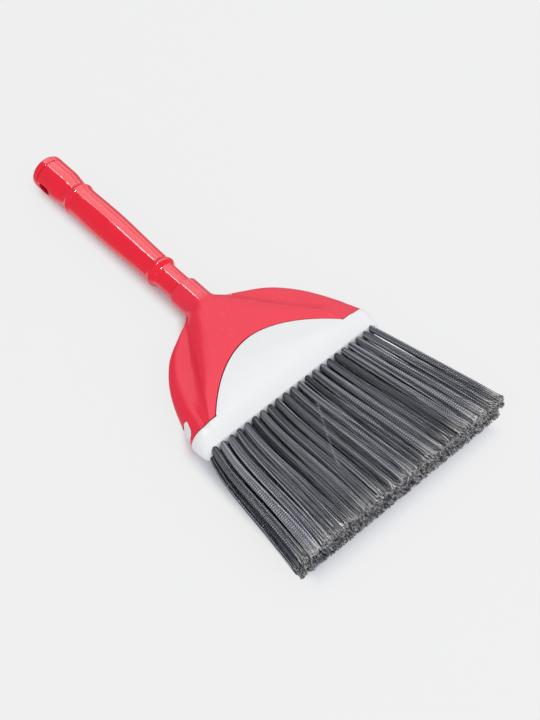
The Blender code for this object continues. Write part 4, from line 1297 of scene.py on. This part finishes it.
def bristle_material():
    """Dark blue-grey polypropylene: no two filaments quite alike, crimped, with the crimp also painted into
    the colour as bands of painted shade and highlight, and beige-grey where it is cut.
    """
    made, tree, shader = new_material("bristle_grey")
    crimps = add_node(tree, "ShaderNodeGroup", node_tree=crimp_recipe()).outputs
    crimp, frayed, strand, lock = (
        Figure(tree, crimps[label]) for label in ("Crimp", "Frayed", "Strand", "Lock"))
    # Painted shade and highlight: the crimp's zigzag is also painted into the colour as light and dark bands.
    grey = dict.fromkeys(("Red", "Green", "Blue"), crimp * 1.7 + 0.15)
    shade = add_node(tree, "ShaderNodeCombineColor", grey)
    whole = mixed(tree, strand ** 4.0 * 0.7 + lock ** 3.0, BRISTLE_DARK, BRISTLE_LIGHT)
    whole = mixed(tree, 1.0, whole, shade.outputs[0], "MULTIPLY")
    ends = mixed(tree, strand ** 2.0 * 0.9 + lock ** 3.0 * 0.8, CUT_DARK, CUT_LIGHT)
    feed_all(shader, {
        "Base Color": mixed(tree, frayed * 0.85, whole, ends), "Roughness": frayed * 0.3 + 0.30,
        "Specular IOR Level": 0.5,
    })
    add_lift(tree, shader, crimp, 0.12 * MM, 0.8)
    return made


BRISTLE_DARK = (0.010, 0.013, 0.022)
BRISTLE_LIGHT = (0.42, 0.43, 0.49)
CUT_DARK = (0.015, 0.016, 0.020)
CUT_LIGHT = (0.82, 0.80, 0.78)
bristle_grey = bristle_material()
filament_row, split_end_row = filament_recipe(), split_end_recipe()
for name, row in ROWS.items():
    sizes = {
        "Tufts": FRONT_TUFTS + (row == 0), "Filaments": FILAMENTS, "Locks": LOCKS, "Points": FILAMENT_POINTS,
        "Split ends": SPLIT_ENDS, "Seed": FIRST_SEED + row, "Pitch": TUFT_PITCH, "Depth": row * ROW_SPACING,
        "Depth lost at the ends": ROW_TAPER_SHARE, "Root height": FOOT_HEIGHTS[row] + BRISTLE_START,
        "Tip height": -BRISTLE_REACH + TRIMMED,
        "Tip depth": row * TIP_ROW_SPACING - (row == -1) * BACK_TIPS_UP,
        "Tip spread": TIP_SPREAD_SHARE, "Mouth radius": MOUTH_RADIUS, "Tuft radius": TUFT_RADIUS,
        "Tip radius": TUFT_TIP_RADIUS, "Lock tip radius": LOCK_TIP_RADIUS,
        "Lock drift": LOCK_DRIFT if row == 1 else HIDDEN_ROW_DRIFT, "Filament radius": FILAMENT_RADIUS,
        "Unevenness": UNEVENNESS, "Row bow": row * ROW_BOW, "Side sweep": SIDE_SWEEP, "Lean": LEAN,
        "Tip slant": TIP_SLANT, "Half width": BOX_HALF_WIDTH, "Half thickness": BOX_HALF_THICK,
        "Material": bristle_grey,
    }
    node = "bristles_" + name
    fasten(made_by(filament_row, node + "_filaments", sizes), "head", node)
    sizes["Filament radius"] = SPLIT_RADIUS
    fasten(made_by(split_end_row, node + "_split_ends", sizes), "head", node)

# Loose filament: one crimped filament of the same polypropylene that has worked out of its tuft. It lies
# across the front row, held by nothing.

LOOSE_SPOTS = (
    (-2.3, -118.8, 14.8), (-9.7, -131.7, 14.85), (-18.1, -146.7, 14.9),
    (-24.2, -158.0, 14.85), (-27.8, -167.2, 14.8),
)
LOOSE_STEPS = 88
LOOSE_CRIMP = 0.4 * MM
LOOSE_SIDES = 6
LOOSE_RADIUS = 0.32 * MM
LOOSE_STEP_MARK = 0.45 * MM
LOOSE_PALENESS = 0.95


def loose_spot(step):
    """Point on the loose filament: straight runs between its spots, with the crimp's zigzag across."""
    run = step / LOOSE_STEPS * (len(LOOSE_SPOTS) - 1)
    low = min(int(run), len(LOOSE_SPOTS) - 2)
    start, end = (Vector(spot) * MM for spot in LOOSE_SPOTS[low:low + 2])
    zigzag = LOOSE_CRIMP * (1 if step % 4 < 2 else -1)
    return start.lerp(end, run - low) + Vector((zigzag, -ROOT_LINE.y, 0))


def loose_filament():
    """The crimped rod, with the marks that its material reads."""
    bm = bmesh.new()
    along, pale = (bm.verts.layers.float.new(label) for label in ("along", "filament"))
    rings = [ring_around(loose_spot(step), LOOSE_RADIUS, LOOSE_SIDES) for step in range(LOOSE_STEPS + 1)]
    for step, ring in enumerate(add_tube(bm, rings)):
        for vert in ring:
            vert[along] = step * LOOSE_STEP_MARK
            vert[pale] = LOOSE_PALENESS
    bmesh.ops.recalc_face_normals(bm, faces=bm.faces)
    return bm


add_piece("loose_filament", loose_filament(), bristle_grey, "head", "bristles_front")

# Staples: 67 short pieces of flat galvanised wire, one across the fold of each tuft. Each is driven into the
# bottom of its hole, and its two ends bite into the plastic beside it.

STAPLE_LENGTH = 5.8 * MM
STAPLE_WIDTH = 1.6 * MM
STAPLE_THICKNESS = 0.3 * MM
STAPLE_BOW = 0.5 * MM
STAPLE_DEPTH = 8.5 * MM
DRAWN_IN = STAPLE_DEPTH / BRISTLE_REACH
ZINC_DARK = (0.42, 0.43, 0.44)
ZINC_LIGHT = (0.62, 0.63, 0.65)


def staple_recipe():
    """One row of bowed flat wires, each lying across the bottom of its tuft's hole."""
    tree, given, made = new_recipe("Row of staples", "GeometryNodeTree", {"Tufts": 0, "Material": None} | {
        label: 0.0 for label in (
            "Pitch", "Depth", "Depth lost at the ends", "Root height", "Length", "Width", "Thickness", "Bow")
    }, ("Geometry",))

    def add(kind, fed):
        return add_node(tree, kind, fed).outputs[0]

    place = figure_of(tree, "GeometryNodeInputIndex") - (given["Tufts"] - 1) / 2
    end_share = (place / ((given["Tufts"] - 1) / 2)) ** 2.0
    depth = given["Depth"] * (1 - end_share * given["Depth lost at the ends"])
    spot = head_place(tree, place * given["Pitch"], given["Root height"], depth)
    points = add("GeometryNodePoints", {"Count": given["Tufts"], "Position": spot})
    half = given["Length"] / 2
    wire = add_node(tree, "GeometryNodeCurveQuadraticBezier", {
        "Resolution": 6, "Start": add("ShaderNodeCombineXYZ", {"X": half * -1}),
        "Middle": add("ShaderNodeCombineXYZ", {"Y": given["Bow"] * -2}),
        "End": add("ShaderNodeCombineXYZ", {"X": half}),
    }).outputs[0]
    flat = add("GeometryNodeCurvePrimitiveQuadrilateral", {
        "Width": given["Thickness"], "Height": given["Width"]})
    staple = add("GeometryNodeCurveToMesh", {"Curve": wire, "Profile Curve": flat, "Fill Caps": True})
    placed = add("GeometryNodeInstanceOnPoints", {"Points": points, "Instance": staple})
    plain = add("GeometryNodeRealizeInstances", {"Geometry": placed})
    zinced = add("GeometryNodeSetMaterial", {"Geometry": plain, "Material": given["Material"]})
    feed_all(made, {"Geometry": zinced})
    return tree


def wire_material():
    """Zinc on drawn steel wire: fine lines along it and dull patches."""
    made, tree, shader = new_material("staple_wire")
    cloud, ripple, scuff = traces_in(tree, {
        "Cloud size": 2 * MM, "Ripple size": 0.3 * MM, "Scuff size": 0.5 * MM, "Scuff share": 0.6})
    feed_all(shader, {
        "Base Color": mixed(tree, cloud, ZINC_DARK, ZINC_LIGHT), "Metallic": 1.0,
        "Roughness": scuff * 0.3 + 0.32,
    })
    add_lift(tree, shader, ripple, 0.01 * MM)
    return made


staple_row, staple_wire = staple_recipe(), wire_material()
for name, row in ROWS.items():
    staples = made_by(staple_row, "staples_" + name, {
        "Tufts": FRONT_TUFTS + (row == 0), "Pitch": TUFT_PITCH * (1 - TIP_SPREAD_SHARE * DRAWN_IN),
        "Depth": row * (ROW_SPACING - (TIP_ROW_SPACING - ROW_SPACING) * DRAWN_IN),
        "Depth lost at the ends": ROW_TAPER_SHARE, "Root height": FOOT_HEIGHTS[row] + STAPLE_DEPTH,
        "Length": STAPLE_LENGTH, "Width": STAPLE_WIDTH, "Thickness": STAPLE_THICKNESS, "Bow": STAPLE_BOW,
        "Material": staple_wire,
    })
    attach(staples, "head")
